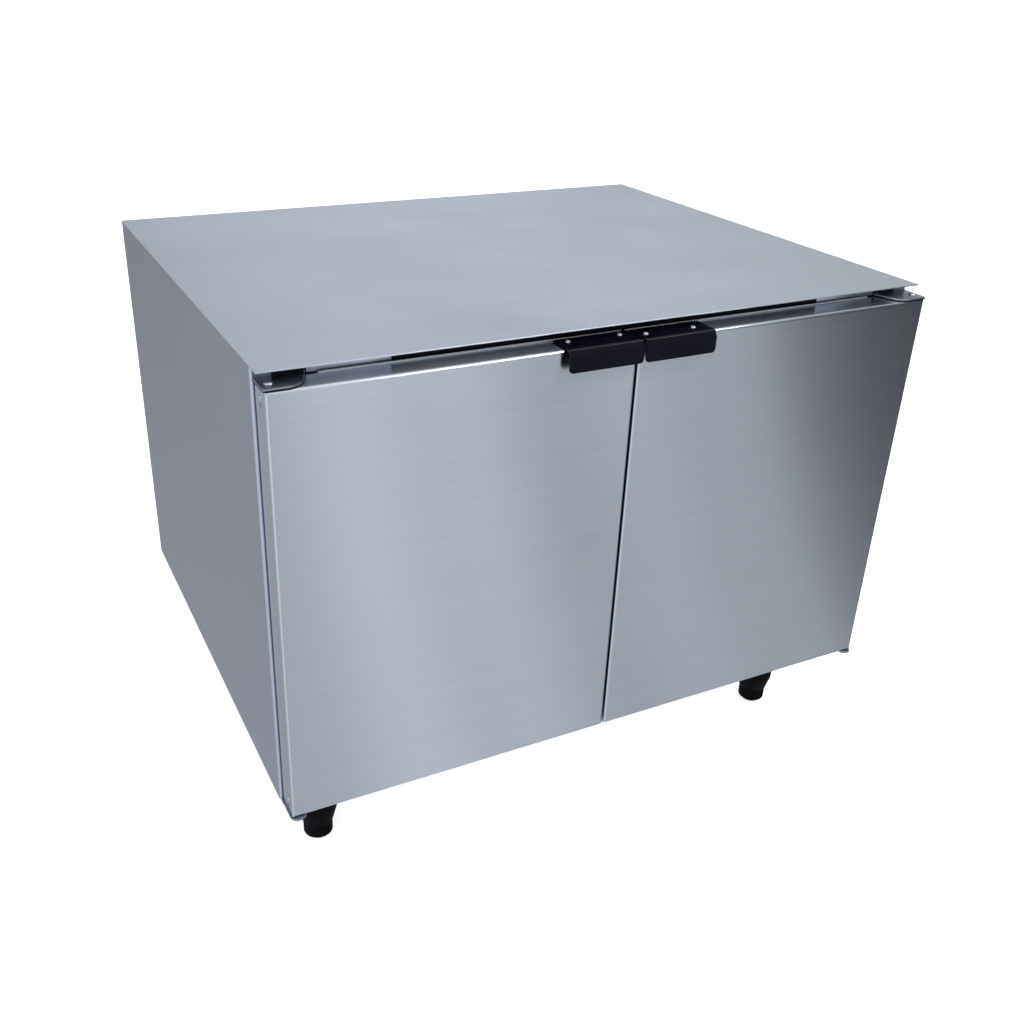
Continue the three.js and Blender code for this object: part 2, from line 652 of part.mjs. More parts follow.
// A finned coil: a block of fins between two end plates, with return bends beyond them.
function finnedCoil([x0, x1], [y0, y1], [z0, z1]) {
  const fins = block([x0, x1], shrink([y0, y1], 2), shrink([z0, z1], 2));
  const plates = [x0, x1].map((x) => block(between(x, END_PLATE), [y0, y1], [z0, z1]));
  const bends = [];
  const middleY = (y0 + y1) / 2;
  for (let z = z0 + COIL_ROW / 2 + 2; z < z1 - COIL_ROW / 3; z += COIL_ROW) {
    for (const [x, side] of [[x0, -1], [x1, 1]]) {
      const half = new THREE.QuadraticBezierCurve3(
        new THREE.Vector3(x, middleY, z - COIL_BEND),
        new THREE.Vector3(x + side * 2 * COIL_BEND, middleY, z),
        new THREE.Vector3(x, middleY, z + COIL_BEND),
      );
      bends.push(tube(half, COIL_TUBE, 4, 6));
    }
  }
  return join(fins, ...plates, ...bends);
}
const evaporatorCoilY = [CAVITY_BACK - 58, CAVITY_BACK - 14];
const evaporatorCoilZ = [EVAPORATOR.low + 22, evaporatorHigh - 8];
piece(
  "evaporator_coil",
  finnedCoil(spread(EVAPORATOR.half - 25), evaporatorCoilY, evaporatorCoilZ),
  "aluminium",
);

const EVAPORATOR_SHAFT = 3; // radius
const evaporatorMotorBody = [EVAPORATOR.front + 20, EVAPORATOR.front + 48];
piece(
  "evaporator_fan_motor",
  fanMotor({
    ...evaporatorFan,
    body: evaporatorMotorBody,
    radius: 22,
    shaftEnd: EVAPORATOR.front + 6,
    shaftRadius: EVAPORATOR_SHAFT,
    strap: [EVAPORATOR.low + SHEET + GAP, evaporatorHigh - SHEET - GAP],
  }),
  "black_paint",
);
piece(
  "evaporator_fan_blade",
  fanBlades({
    ...evaporatorFan,
    y: EVAPORATOR.front + 12,
    hub: 14,
    depth: 11,
    bore: EVAPORATOR_SHAFT + RUNNING,
    count: 5,
  }),
  "black_plastic",
);

// The guard: three rings and four spokes in front of the fan opening.
function fanGuard() {
  const y = EVAPORATOR.front - 5;
  const WIRE = 1.5;
  const rings = [22, 42, 62].map((radius) => {
    const section = [[radius - WIRE, y - WIRE], [radius + WIRE, y - WIRE], [radius + WIRE, y + WIRE]];
    const closed = [...section, [radius - WIRE, y + WIRE], section[0]];
    return turnedAlongY(closed, [evaporatorFan.x, evaporatorFan.z], 18);
  });
  const spokes = [0, 45, 90, 135].map((degrees) =>
    block(spread(66), [y, EVAPORATOR.front - GAP], spread(WIRE / 2))
      .rotateY(THREE.MathUtils.degToRad(degrees))
      .translate(evaporatorFan.x, 0, evaporatorFan.z),
  );
  return join(...rings, ...spokes);
}
piece("evaporator_fan_guard", fanGuard(), "black_coat");

const DRAIN_BEND = 16;
const drainDropY = FOAM_BACK + DRAIN_BEND + 8;
const drainCorner = new THREE.Vector3(DRAIN.x, drainDropY, DRAIN.z);
const beforeBend = new THREE.Vector3(DRAIN.x, drainDropY - DRAIN_BEND, DRAIN.z);
const afterBend = new THREE.Vector3(DRAIN.x, drainDropY, DRAIN.z - DRAIN_BEND);
const drainPath = new THREE.CurvePath();
drainPath.add(new THREE.LineCurve3(new THREE.Vector3(DRAIN.x, DRAIN.y, DRAIN.z), beforeBend));
drainPath.add(new THREE.QuadraticBezierCurve3(beforeBend, drainCorner, afterBend));
const drainEnd = new THREE.Vector3(DRAIN.x, drainDropY, BODY_BOTTOM + 50);
drainPath.add(new THREE.LineCurve3(afterBend, drainEnd));
piece("drain_tube", tube(drainPath, DRAIN.radius, 26), "white_plastic");

// ---- temperature control ----
const CONTROL = { x: 250, z: CAVITY_CEILING - 62, front: CAVITY_BACK - 46, width: 78, height: 96 };
const KNOB_SHAFT = 3; // radius
piece(
  "temperature_control",
  join(
    block(
      between(CONTROL.x, CONTROL.width),
      [CONTROL.front, CAVITY_BACK - GAP],
      between(CONTROL.z, CONTROL.height),
    ),
    rodAlongY([CONTROL.x, CONTROL.z], [CONTROL.front - 9, CONTROL.front + 2], KNOB_SHAFT, 12),
  ),
  "white_plastic",
);
function knob() {
  const face = CONTROL.front - 18;
  const back = CONTROL.front - 1;
  const body = turnedAlongY(
    [[0, face], [15, face], [17, face + 2], [19, back], [0, back]],
    [CONTROL.x, CONTROL.z],
  );
  const grip = block(between(CONTROL.x, 5), [face - 5, face + 2], between(CONTROL.z, 32));
  const boreY = [CONTROL.front - 9.5, back + 1];
  const bore = rodAlongY([CONTROL.x, CONTROL.z], boreY, KNOB_SHAFT + RUNNING);
  return cut(join(body, grip), bore);
}
piece("temperature_knob", knob(), "black_plastic");

// ---- shelves ----
const SHELF_Z = CAVITY_FLOOR + 240;
const SHELF_Y = [MULLION_BACK + 10, CAVITY_BACK - 8];
const FRAME_WIRE = 3; // radius
const CROSS_WIRE = 1.8;
const WIRE_PITCH = 27;
const RAIL_FLANGE = 16;
const RAIL_TOP = SHELF_Z - FRAME_WIRE - GAP;

function shelf(side) {
  const [x0, x1] = [side * 5, side * (CAVITY_HALF_WIDTH - 4)].sort(byValue);
  const [y0, y1] = SHELF_Y;
  const inset = FRAME_WIRE;
  const railY = [y0 + inset, (y0 + y1) / 2, y1 - inset];
  const endX = [x0 + inset, x1 - inset];
  const rails = railY.map((y) => rodAlongX([y, SHELF_Z], [x0, x1], FRAME_WIRE, 6));
  const ends = endX.map((x) => rodAlongY([x, SHELF_Z], [y0, y1], FRAME_WIRE, 6));
  const wires = [];
  for (let x = x0 + WIRE_PITCH; x < x1 - WIRE_PITCH / 2; x += WIRE_PITCH) {
    wires.push(rodAlongY([x, SHELF_Z + 2], [y0 + inset, y1 - inset], CROSS_WIRE, 4));
  }
  return join(...rails, ...ends, ...wires);
}

function sideRail(side) {
  const wall = side * (CAVITY_HALF_WIDTH - GAP);
  const inner = side * (CAVITY_HALF_WIDTH - GAP - SHEET);
  const reach = side * (CAVITY_HALF_WIDTH - GAP - RAIL_FLANGE);
  const section = outline([
    [wall, RAIL_TOP - RAIL_FLANGE],
    [wall, RAIL_TOP],
    [reach, RAIL_TOP],
    [reach, RAIL_TOP - SHEET],
    [inner, RAIL_TOP - SHEET],
    [inner, RAIL_TOP - RAIL_FLANGE],
  ]);
  return prism(section, "y", SHELF_Y);
}

const CENTRE_RAIL_HALF = 26;
const centreRail = strip(
  [
    [-CENTRE_RAIL_HALF, RAIL_TOP - RAIL_FLANGE],
    [-CENTRE_RAIL_HALF, RAIL_TOP],
    [CENTRE_RAIL_HALF, RAIL_TOP],
    [CENTRE_RAIL_HALF, RAIL_TOP - RAIL_FLANGE],
  ],
  -SHEET,
);
piece("left_shelf", shelf(-1), "white_wire");
piece("right_shelf", shelf(1), "white_wire");
piece("left_shelf_rail", sideRail(-1), "stainless");
piece("right_shelf_rail", sideRail(1), "stainless");
piece("centre_shelf_rail", prism(centreRail, "y", [MULLION_BACK + GAP, CAVITY_BACK - GAP]), "stainless");

// ---- condensing unit, in the compartment behind the insulated wall ----
const BAY = [FOAM_BACK + 8, BODY_BACK - 6];
const BAY_FLOOR = BODY_BOTTOM + SHEET + GAP;
const BASE_LIP = BAY_FLOOR + 12;
const baseSection = strip(
  [[BAY[0], BASE_LIP], [BAY[0], BAY_FLOOR], [BAY[1], BAY_FLOOR], [BAY[1], BASE_LIP]],
  SHEET,
);
const rearLegs = legPlaces.filter(({ at }) => at[1] > FOAM_BACK);
const baseStudHoles = studHoles(rearLegs, BAY_FLOOR + 20, 2);
piece("condensing_unit_base", cut(prism(baseSection, "x", spread(430)), ...baseStudHoles), "zinc");

const BASE_TOP = BAY_FLOOR + SHEET + GAP;
const COMPRESSOR = { x: -215, y: (BAY[0] + BAY[1]) / 2, radius: 72 };
function compressor() {
  const { x, y, radius } = COMPRESSOR;
  const above = ([low, high]) => [BASE_TOP + low, BASE_TOP + high];
  const domed = [[0.8, 14], [0.97, 30], [1, 60], [1, 120], [0.94, 145], [0.75, 165], [0.42, 178]];
  const wall = domed.map(([share, height]) => [radius * share, BASE_TOP + height]);
  const shell = turned([[0, BASE_TOP + 14], ...wall, [0, BASE_TOP + 182]], [x, y]);
  const weldSeam = rod([x, y], above([96, 101]), radius + 3);
  const cradle = block(between(x, 190), between(y, 96), above([10, 15]));
  const mounts = [];
  for (const mountX of [x - 82, x + 82]) {
    for (const mountY of [y - 36, y + 36]) {
      mounts.push(rod([mountX, mountY], above([0, 12]), 12, 16));
    }
  }
  const terminalBox = block([x + radius - 8, x + radius + 24], between(y, 54), above([55, 115]));
  return join(shell, weldSeam, cradle, ...mounts, terminalBox);
}
piece("compressor", compressor(), "black_paint");

const COIL_X = [90, 370];
const COIL_Y = [BAY[1] - 48, BAY[1] - 6];
const COIL_Z = [BASE_TOP + 4, BASE_TOP + 236];
piece("condenser_coil", finnedCoil(COIL_X, COIL_Y, COIL_Z), "aluminium");

const condenserFan = { x: (COIL_X[0] + COIL_X[1]) / 2, z: (COIL_Z[0] + COIL_Z[1]) / 2, radius: 95 };
const CONDENSER_SHAFT = 4; // radius
const SHROUD_DEPTH = 34;
function shroud() {
  const back = COIL_Y[0] - GAP;
  const front = back - SHROUD_DEPTH;
  const outer = block(COIL_X, [front, back], COIL_Z);
  const inner = block(shrink(COIL_X, SHEET), [front + SHEET, back + 1], shrink(COIL_Z, SHEET));
  const { x, z, radius } = condenserFan;
  const opening = rodAlongY([x, z], [front - 1, front + 3], radius + 5, 36);
  return cut(outer, inner, opening);
}
piece("condenser_fan_shroud", shroud(), "zinc");
piece(
  "condenser_fan_blade",
  fanBlades({
    ...condenserFan,
    y: COIL_Y[0] - 22,
    hub: 20,
    depth: 14,
    bore: CONDENSER_SHAFT + RUNNING,
    count: 5,
  }),
  "aluminium",
);

// The condenser fan pushes towards the coil, so its motor stands in front with the shaft towards +Y.
function condenserMotor() {
  const { x, z } = condenserFan;
  const body = [BAY[0] + 6, COIL_Y[0] - GAP - SHROUD_DEPTH - 10];
  const can = rodAlongY([x, z], body, 36);
  const shaft = rodAlongY([x, z], [body[1] - 2, COIL_Y[0] - 10], CONDENSER_SHAFT, 12);
  const post = block(between(x, 60), [body[0] + 8, body[0] + 11], [BASE_TOP + 2, z]);
  const foot = block(between(x, 60), [body[0] + 8, body[1] - 2], [BASE_TOP, BASE_TOP + 3]);
  return join(can, shaft, post, foot);
}
piece("condenser_fan_motor", condenserMotor(), "black_paint");

// The box hangs open-backed on the insulated wall; its lid laps over its front edge.
const BOX_X = [-400, -320];
const BOX_Y = [FOAM_BACK + GAP, BAY[1] - 80];
const BOX_Z = [BASE_TOP + 40, BASE_TOP + 150];
const LID_LAP = 3;
const boxLid = block(shrink(BOX_X, -LID_LAP), [BOX_Y[1] - 20, BOX_Y[1] + 2], shrink(BOX_Z, -LID_LAP));
const boxInside = block(shrink(BOX_X, SHEET), [BOX_Y[0] - 1, BOX_Y[1] - SHEET], shrink(BOX_Z, SHEET));
piece("electrical_box", cut(join(block(BOX_X, BOX_Y, BOX_Z), boxLid), boxInside), "zinc");

// ---- condensate tray under the drain, and the mains inlet in the back panel ----
const TRAY_X = [-100, 20];
const TRAY_Y = [BAY[0] + 4, BAY[1] - 60];
const TRAY_Z = [BASE_TOP, BASE_TOP + 30];
const TRAY_WALL = 2;
const trayInside = block(
  shrink(TRAY_X, TRAY_WALL),
  shrink(TRAY_Y, TRAY_WALL),
  [TRAY_Z[0] + TRAY_WALL, TRAY_Z[1] + 1],
);
piece("condensate_tray", cut(block(TRAY_X, TRAY_Y, TRAY_Z), trayInside), "black_plastic");

// The inlet's body stands in the panel's hole, and its flange clips behind the panel.
function powerInlet() {
  const face = BODY_BACK - GAP;
  const flangeFace = BODY_BACK - SHEET - GAP;
  const across = (extra) => between(INLET.x, INLET.width + extra);
  const upright = (extra) => between(INLET.z, INLET.height + extra);
  const body = block(across(0), [face - 30, face], upright(0));
  const flange = block(across(18), [flangeFace - 2, flangeFace], upright(6));
  const socket = block(across(-5), [face - 20, face + 1], upright(-5));
  return cut(join(body, flange), socket);
}
piece("power_inlet", powerInlet(), "black_plastic");

export default refrigerator;
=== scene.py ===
"""The looks of a two-door undercounter refrigerator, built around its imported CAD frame.

Metres, +Z up, doors towards -Y, +X to the right of someone facing the doors.
"""
import json
import math

import bmesh
import bpy
from mathutils import Matrix, Vector


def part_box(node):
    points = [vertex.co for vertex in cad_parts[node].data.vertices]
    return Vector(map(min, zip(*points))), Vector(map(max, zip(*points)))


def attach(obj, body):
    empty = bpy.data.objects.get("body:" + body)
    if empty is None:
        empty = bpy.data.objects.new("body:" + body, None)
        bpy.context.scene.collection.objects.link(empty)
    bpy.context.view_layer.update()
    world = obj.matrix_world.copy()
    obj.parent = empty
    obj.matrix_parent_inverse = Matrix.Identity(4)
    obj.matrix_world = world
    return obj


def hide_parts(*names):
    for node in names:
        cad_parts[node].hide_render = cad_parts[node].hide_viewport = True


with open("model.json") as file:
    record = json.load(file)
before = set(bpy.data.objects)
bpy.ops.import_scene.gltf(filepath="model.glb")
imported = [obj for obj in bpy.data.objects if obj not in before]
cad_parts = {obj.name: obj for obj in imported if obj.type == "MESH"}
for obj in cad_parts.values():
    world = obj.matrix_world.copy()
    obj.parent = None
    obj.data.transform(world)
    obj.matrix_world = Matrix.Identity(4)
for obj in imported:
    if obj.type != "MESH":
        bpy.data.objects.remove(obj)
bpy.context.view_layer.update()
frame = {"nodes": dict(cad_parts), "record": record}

MM = 0.001
scene = bpy.context.scene
record = frame["record"]
BODY_OF = {node: body for body, nodes in record["behaviour"]["bodies"].items() for node in nodes}
SIDES = {"left": -1, "right": 1}
CORNERS = ("front_left", "front_right", "rear_left", "rear_right")


# ---- camera, studio and floor ----

CAMERA_PLACE = (-0.7290, -1.3922, 1.1228)
CAMERA_HEADING = 26.92  # degrees to the right of straight ahead
CAMERA_TILT = -27.04
CAMERA_ROLL = 1.63
CAMERA_LENS = 38.66
CAMERA_SHIFT = (0.0343, -0.0039)


def add_camera():
    data = bpy.data.cameras.new("photo_camera")
    data.lens = CAMERA_LENS
    data.sensor_width = 36
    data.shift_x, data.shift_y = CAMERA_SHIFT
    camera = bpy.data.objects.new("photo_camera", data)
    heading = Matrix.Rotation(math.radians(-CAMERA_HEADING), 4, "Z")
    tilt = Matrix.Rotation(math.radians(90 + CAMERA_TILT), 4, "X")
    roll = Matrix.Rotation(math.radians(CAMERA_ROLL), 4, "Z")
    camera.matrix_world = Matrix.Translation(CAMERA_PLACE) @ heading @ tilt @ roll
    scene.collection.objects.link(camera)
    scene.camera = camera


class Nodes:
    """A node tree with short ways to add and link its nodes."""

    def __init__(self, tree):
        self.tree = tree

    def add(self, kind, inputs=None, **settings):
        node = self.tree.nodes.new("ShaderNode" + kind)
        for key, value in settings.items():
            setattr(node, key, value)
        for key, value in (inputs or {}).items():
            self.plug(node.inputs[key], value)
        return node

    def plug(self, socket, value):
        if isinstance(value, bpy.types.NodeSocket):
            self.tree.links.new(value, socket)
        else:
            socket.default_value = value

    def maths(self, operation, *values):
        node = self.add("Math", operation=operation)
        for socket, value in zip(node.inputs, values):
            self.plug(socket, value)
        return node.outputs[0]

    def noise(self, place, scale, detail=3.0, roughness=0.5):
        """Noise at its own scale along each axis, in features per metre."""
        mapped = self.add("Mapping", {"Vector": place, "Scale": scale})
        inputs = {"Vector": mapped.outputs[0], "Scale": 1.0, "Detail": detail, "Roughness": roughness}
        return self.add("TexNoise", inputs).outputs[0]

    def remap(self, value, low, high, source=(0.3, 0.7)):
        inputs = {0: value, 1: source[0], 2: source[1], 3: low, 4: high}
        return self.add("MapRange", inputs).outputs[0]

    def blend(self, factor, low, high):
        node = self.add("Mix", data_type="RGBA")
        self.plug(node.inputs[0], factor)
        self.plug(node.inputs[6], low)
        self.plug(node.inputs[7], high)
        return node.outputs[2]

    def ramp(self, value, stops):
        """A grey ramp through (position, brightness) stops."""
        node = self.add("ValToRGB", {0: value})
        node.color_ramp.interpolation = "EASE"
        elements = node.color_ramp.elements
        elements[0].position, elements[1].position = stops[0][0], stops[-1][0]
        for position, _ in stops[1:-1]:
            elements.new(position)
        for element, (_, brightness) in zip(elements, stops):
            element.color = (brightness, brightness, brightness, 1)
        return node.outputs[0]


# Brightness of the room round the object, by degrees that a direction leans to the right of the plane
# through the object's middle. Directions to the rear count on, up to 180 degrees.
ROOM = (
    (-180, 0.26), (-172, 0.22), (-164, 0.50), (-150, 0.50), (-115, 0.90), (-80, 1.10), (-40, 1.00), (0, 0.62),
    (13, 0.66), (18.3, 0.96), (21.5, 0.70), (23.8, 0.82), (28.8, 0.53), (32.9, 0.68), (36.2, 0.54),
    (38.6, 0.66), (41.0, 0.28), (44.0, 0.14), (47, 0.08), (58, 0.06), (70, 0.40), (100, 0.56), (138, 0.57),
    (152, 0.51), (168, 0.58), (176, 0.32), (180, 0.26),
)
# Below, the room gives way to the floor: wholly where a direction's upward part is the first number, and
# not at all where it is the second.
UNDERFOOT = 0.56
FLOOR_TAKES_OVER = (-0.95, -0.30)
# How much brighter the room is overhead, by height, from 0 straight down to 1 straight up.
CEILING = ((0.0, 1.0), (0.70, 1.0), (0.85, 1.5), (1.0, 1.5))


def add_studio():
    """Soft light from all round, with broad lighter and darker parts, and white behind the object."""
    world = bpy.data.worlds.new("studio")
    world.use_nodes = True
    scene.world = world
    nodes = Nodes(world.node_tree)
    direction = nodes.add("SeparateXYZ", {0: nodes.add("TexCoord").outputs["Generated"]}).outputs
    level = nodes.maths("SQRT", nodes.maths("SUBTRACT", 1.0, nodes.maths("POWER", direction[0], 2.0)))
    to_rear = nodes.maths("MULTIPLY", level, nodes.maths("SIGN", direction[1]))
    lean = nodes.maths("ARCTAN2", direction[0], nodes.maths("MULTIPLY", to_rear, -1.0))
    turn = nodes.maths("MULTIPLY_ADD", lean, 1 / math.tau, 0.5)
    room = nodes.ramp(turn, [(degrees / 360 + 0.5, value) for degrees, value in ROOM])
    steepness = nodes.remap(direction[2], 1.0, 0.0, FLOOR_TAKES_OVER)
    below = nodes.blend(0.5, room, (UNDERFOOT, UNDERFOOT, UNDERFOOT, 1))
    around = nodes.blend(steepness, room, below)
    rise = nodes.ramp(nodes.maths("MULTIPLY_ADD", direction[2], 0.5, 0.5), CEILING)
    lit = nodes.add("Mix", {0: 1.0, 6: around, 7: rise}, data_type="RGBA", blend_type="MULTIPLY").outputs[2]
    seen = nodes.blend(nodes.add("LightPath").outputs["Is Camera Ray"], lit, (1, 1, 1, 1))
    background = world.node_tree.nodes["Background"]
    nodes.plug(background.inputs["Color"], seen)
    background.inputs["Strength"].default_value = 1.0


def add_soft_light(name, place, target, size, power):
    data = bpy.data.lights.new(name, "AREA")
    data.shape = "RECTANGLE"
    data.size, data.size_y = size
    data.energy = power
    light = bpy.data.objects.new(name, data)
    light.location = place
    light.rotation_euler = (Vector(target) - Vector(place)).to_track_quat("-Z", "Y").to_euler()
    light.visible_camera = False
    scene.collection.objects.link(light)


def add_floor():
    """A plain pale floor, lit evenly enough to run into the white background."""
    size = 14.0
    bm = bmesh.new()
    bmesh.ops.create_grid(bm, x_segments=1, y_segments=1, size=size / 2)
    mesh = bpy.data.meshes.new("studio_floor")
    bm.to_mesh(mesh)
    bm.free()
    floor = bpy.data.objects.new("studio_floor", mesh)
    scene.collection.objects.link(floor)
    look = bpy.data.materials.new("pale_floor")
    look.use_nodes = True
    nodes = Nodes(look.node_tree)
    shader = look.node_tree.nodes["Principled BSDF"]
    place = nodes.add("TexCoord").outputs["Object"]
    tone = nodes.noise(place, (3, 3, 3))
    nodes.plug(shader.inputs["Base Color"], nodes.blend(tone, (0.80, 0.80, 0.81, 1), (0.84, 0.84, 0.85, 1)))
    shader.inputs["Roughness"].default_value = 0.9
    shader.inputs["Specular IOR Level"].default_value = 0.1
    shader.inputs["Emission Color"].default_value = (1, 1, 1, 1)
    shader.inputs["Emission Strength"].default_value = 0.72
    mesh.materials.append(look)
    floor.visible_glossy = False


add_camera()
add_studio()
add_soft_light("edge_light", (1.50, -1.98, 3.06), (0, -0.37, 0.72), (1.6, 0.36), 40)
add_soft_light("fill_light", (-2.4, -2.6, 2.2), (0, 0, 0.4), (1.6, 1.6), 16)
add_floor()
scene.view_settings.view_transform = "Standard"


# ---- materials ----

AXES = {"X": (1, 0, 0), "Y": (0, 1, 0), "Z": (0, 0, 1)}
TANGENT_NUDGE = (0.002, 0.004, 0.013)  # gives a tangent to the faces that the grain runs straight into


def start_material(name):
    """Returns the material, its nodes, its shader, and the place on the object in metres."""
    made = bpy.data.materials.new(name)
    made.use_nodes = True
    nodes = Nodes(made.node_tree)
    shader = made.node_tree.nodes["Principled BSDF"]
    return made, nodes, shader, nodes.add("TexCoord").outputs["Object"]


def add_bump(nodes, shader, height, strength, distance):
    inputs = {"Height": height, "Strength": strength, "Distance": distance}
    nodes.plug(shader.inputs["Normal"], nodes.add("Bump", inputs).outputs[0])


def shade_of(tone, share):
    return (*(min(channel * share, 1.0) for channel in tone), 1)


def brushed(name, tone, grain, roughness, anisotropy, contrast=0.035, clouds=0.05):
    """Metal brushed along an axis: fine lines, longer streaks, and faint cloudy smears."""
    made, nodes, shader, place = start_material(name)
    along = Vector(AXES[grain])

    def stretched(along_scale, across_scale):
        return [along_scale if on_axis else across_scale for on_axis in along]

    fine = nodes.noise(place, stretched(14, 1900), 4.0, 0.6)
    streaks = nodes.noise(place, stretched(3, 260), 3.0)
    smears = nodes.noise(place, (5, 5, 5), 4.0)
    lines = nodes.maths("MULTIPLY_ADD", fine, 0.55, nodes.maths("MULTIPLY", streaks, 0.45))
    dark, light = shade_of(tone, 1 - contrast), shade_of(tone, 1 + contrast)
    nodes.plug(shader.inputs["Base Color"], nodes.blend(nodes.remap(lines, 0, 1), dark, light))
    worn = nodes.remap(smears, roughness - clouds / 2, roughness + clouds / 2)
    uneven = nodes.remap(lines, -0.015, 0.015)
    nodes.plug(shader.inputs["Roughness"], nodes.maths("ADD", worn, uneven))
    shader.inputs["Metallic"].default_value = 1.0
    shader.inputs["Anisotropic"].default_value = anisotropy
    normal = nodes.add("TexCoord").outputs["Normal"]
    across = nodes.add("VectorMath", {0: normal, 1: along}, operation="CROSS_PRODUCT").outputs[0]
    nudged = nodes.add("VectorMath", {0: across, 1: TANGENT_NUDGE}, operation="ADD").outputs[0]
    to_world = {"vector_type": "VECTOR", "convert_from": "OBJECT", "convert_to": "WORLD"}
    nodes.plug(shader.inputs["Tangent"], nodes.add("VectorTransform", {0: nudged}, **to_world).outputs[0])
    add_bump(nodes, shader, lines, 0.12, 0.02 * MM)
    return made


def moulded(
    name, tone, roughness, grain_size=1.2, depth=0.03, metallic=0.0, gloss=0.5, contrast=0.06
):
    """Moulded, painted or cast stock: a fine surface grain with slight wear in its gloss."""
    made, nodes, shader, place = start_material(name)
    grain = nodes.noise(place, [1 / (grain_size * MM)] * 3, 3.0)
    wear = nodes.noise(place, (22, 22, 22), 4.0)
    dark, light = shade_of(tone, 1 - contrast), shade_of(tone, 1 + contrast)
    nodes.plug(shader.inputs["Base Color"], nodes.blend(nodes.remap(wear, 0, 1), dark, light))
    nodes.plug(shader.inputs["Roughness"], nodes.remap(wear, roughness * 0.88, roughness * 1.14))
    shader.inputs["Metallic"].default_value = metallic
    shader.inputs["Specular IOR Level"].default_value = gloss
    add_bump(nodes, shader, grain, 0.3, depth * MM)
    return made


def galvanised(name, tone):
    """Zinc-coated sheet with its crystal pattern."""
    made, nodes, shader, place = start_material(name)
    mapped = nodes.add("Mapping", {"Vector": place, "Scale": (110, 110, 110)}).outputs[0]
    crystal = nodes.add("TexVoronoi", {"Vector": mapped, "Scale": 1.0}).outputs["Color"]
    facet = nodes.add("SeparateXYZ", {0: crystal}).outputs[0]
    dull = nodes.noise(place, (9, 9, 9), 4.0)
    tint = nodes.blend(facet, shade_of(tone, 0.82), shade_of(tone, 1.12))
    dulled = nodes.blend(nodes.remap(dull, 0, 0.35), tint, shade_of(tone, 0.75))
    nodes.plug(shader.inputs["Base Color"], dulled)
    nodes.plug(shader.inputs["Roughness"], nodes.remap(facet, 0.34, 0.52, (0, 1)))
    shader.inputs["Metallic"].default_value = 1.0
    return made


def embossed(name, tone):
    """Rolled aluminium with a pebbled face, as used for cabinet liners."""
    made, nodes, shader, place = start_material(name)
    mapped = nodes.add("Mapping", {"Vector": place, "Scale": (240, 240, 240)}).outputs[0]
    cells = nodes.add("TexVoronoi", {"Vector": mapped, "Scale": 1.0}, feature="SMOOTH_F1")
    haze = nodes.noise(place, (7, 7, 7), 4.0)
    nodes.plug(shader.inputs["Base Color"], nodes.blend(haze, shade_of(tone, 0.9), shade_of(tone, 1.05)))
    nodes.plug(shader.inputs["Roughness"], nodes.remap(haze, 0.34, 0.46))
    shader.inputs["Metallic"].default_value = 0.9
    add_bump(nodes, shader, cells.outputs["Distance"], 0.45, 0.25 * MM)
    return made


STEEL = (0.530, 0.580, 0.668)
# A darker, bluer copy of the same steel for the side and back panels: painted shade.
SHADED_SIDE_STEEL = (0.450, 0.504, 0.620)
BRIGHT_STEEL = (0.50, 0.53, 0.60)
LOOKS = {
    "top_steel": brushed("brushed_steel_top", STEEL, "X", 0.36, 0.85, contrast=0.03),
    "shaded_side_steel": brushed("brushed_steel_side_painted_shade", SHADED_SIDE_STEEL, "Y", 0.33, 0.90, contrast=0.03),
    "door_steel": brushed("brushed_steel_door", STEEL, "X", 0.22, 0.97, contrast=0.035),
    "frame_steel": brushed("brushed_steel_frame", STEEL, "Z", 0.36, 0.7),
    "hinge_steel": moulded("satin_hinge_steel", (0.30, 0.33, 0.40), 0.36, 0.8, 0.02, metallic=1.0),
    "bright_steel": moulded("bright_fastener_steel", BRIGHT_STEEL, 0.34, 0.5, 0.01, metallic=1.0),
    "zinc": galvanised("galvanised_sheet", (0.56, 0.58, 0.60)),
    "liner": embossed("embossed_aluminium", (0.74, 0.76, 0.79)),
    "aluminium": moulded("plain_aluminium", (0.72, 0.74, 0.76), 0.34, 0.9, 0.02, metallic=1.0),
    "copper": moulded("drawn_copper", (0.72, 0.36, 0.20), 0.32, 1.5, 0.03, metallic=1.0, contrast=0.16),
    "brass": moulded("turned_brass", (0.70, 0.52, 0.22), 0.30, 1.0, 0.02, metallic=1.0),
    "handle_coat": moulded("gloss_black_coat", (0.0024, 0.0024, 0.0068), 0.11, 1.4, 0.02, gloss=0.09),
    "black_paint": moulded("black_enamel", (0.010, 0.010, 0.012), 0.34, 2.2, 0.08, gloss=0.35),
    "leg_plastic": moulded("black_leg_plastic", (0.0012, 0.0012, 0.0028), 0.60, 0.7, 0.06, gloss=0.06),
    "black_plastic": moulded("black_moulded_plastic", (0.010, 0.010, 0.012), 0.48, 0.6, 0.05, gloss=0.3),
    "grey_plastic": moulded("grey_breaker_plastic", (0.30, 0.32, 0.35), 0.45, 0.8, 0.04),
    # The pale plastic also makes the strip on each door's rear lip, a painted highlight.
    "white_plastic": moulded("white_formed_plastic_and_highlight", (0.56, 0.58, 0.60), 0.42, 1.6, 0.06, contrast=0.03),
    # The black vinyl also serves as painted shade: the strip above the doors, the pads under the top brackets
    # and the slots in the door sides.
    "gasket": moulded("black_gasket_vinyl_and_painted_shade", (0.004, 0.004, 0.006), 0.60, 0.5, 0.03, gloss=0.12),
    "sleeve": moulded("black_pipe_insulation", (0.012, 0.012, 0.013), 0.85, 1.2, 0.35, gloss=0.1),
    "foam": moulded("blown_foam", (0.72, 0.62, 0.38), 0.95, 2.5, 0.9, contrast=0.14),
    "wire_coat": moulded("white_coated_wire", (0.78, 0.80, 0.82), 0.30, 1.0, 0.03, contrast=0.03),
}


# ---- making pieces ----

SMOOTH_ANGLE = math.radians(34)


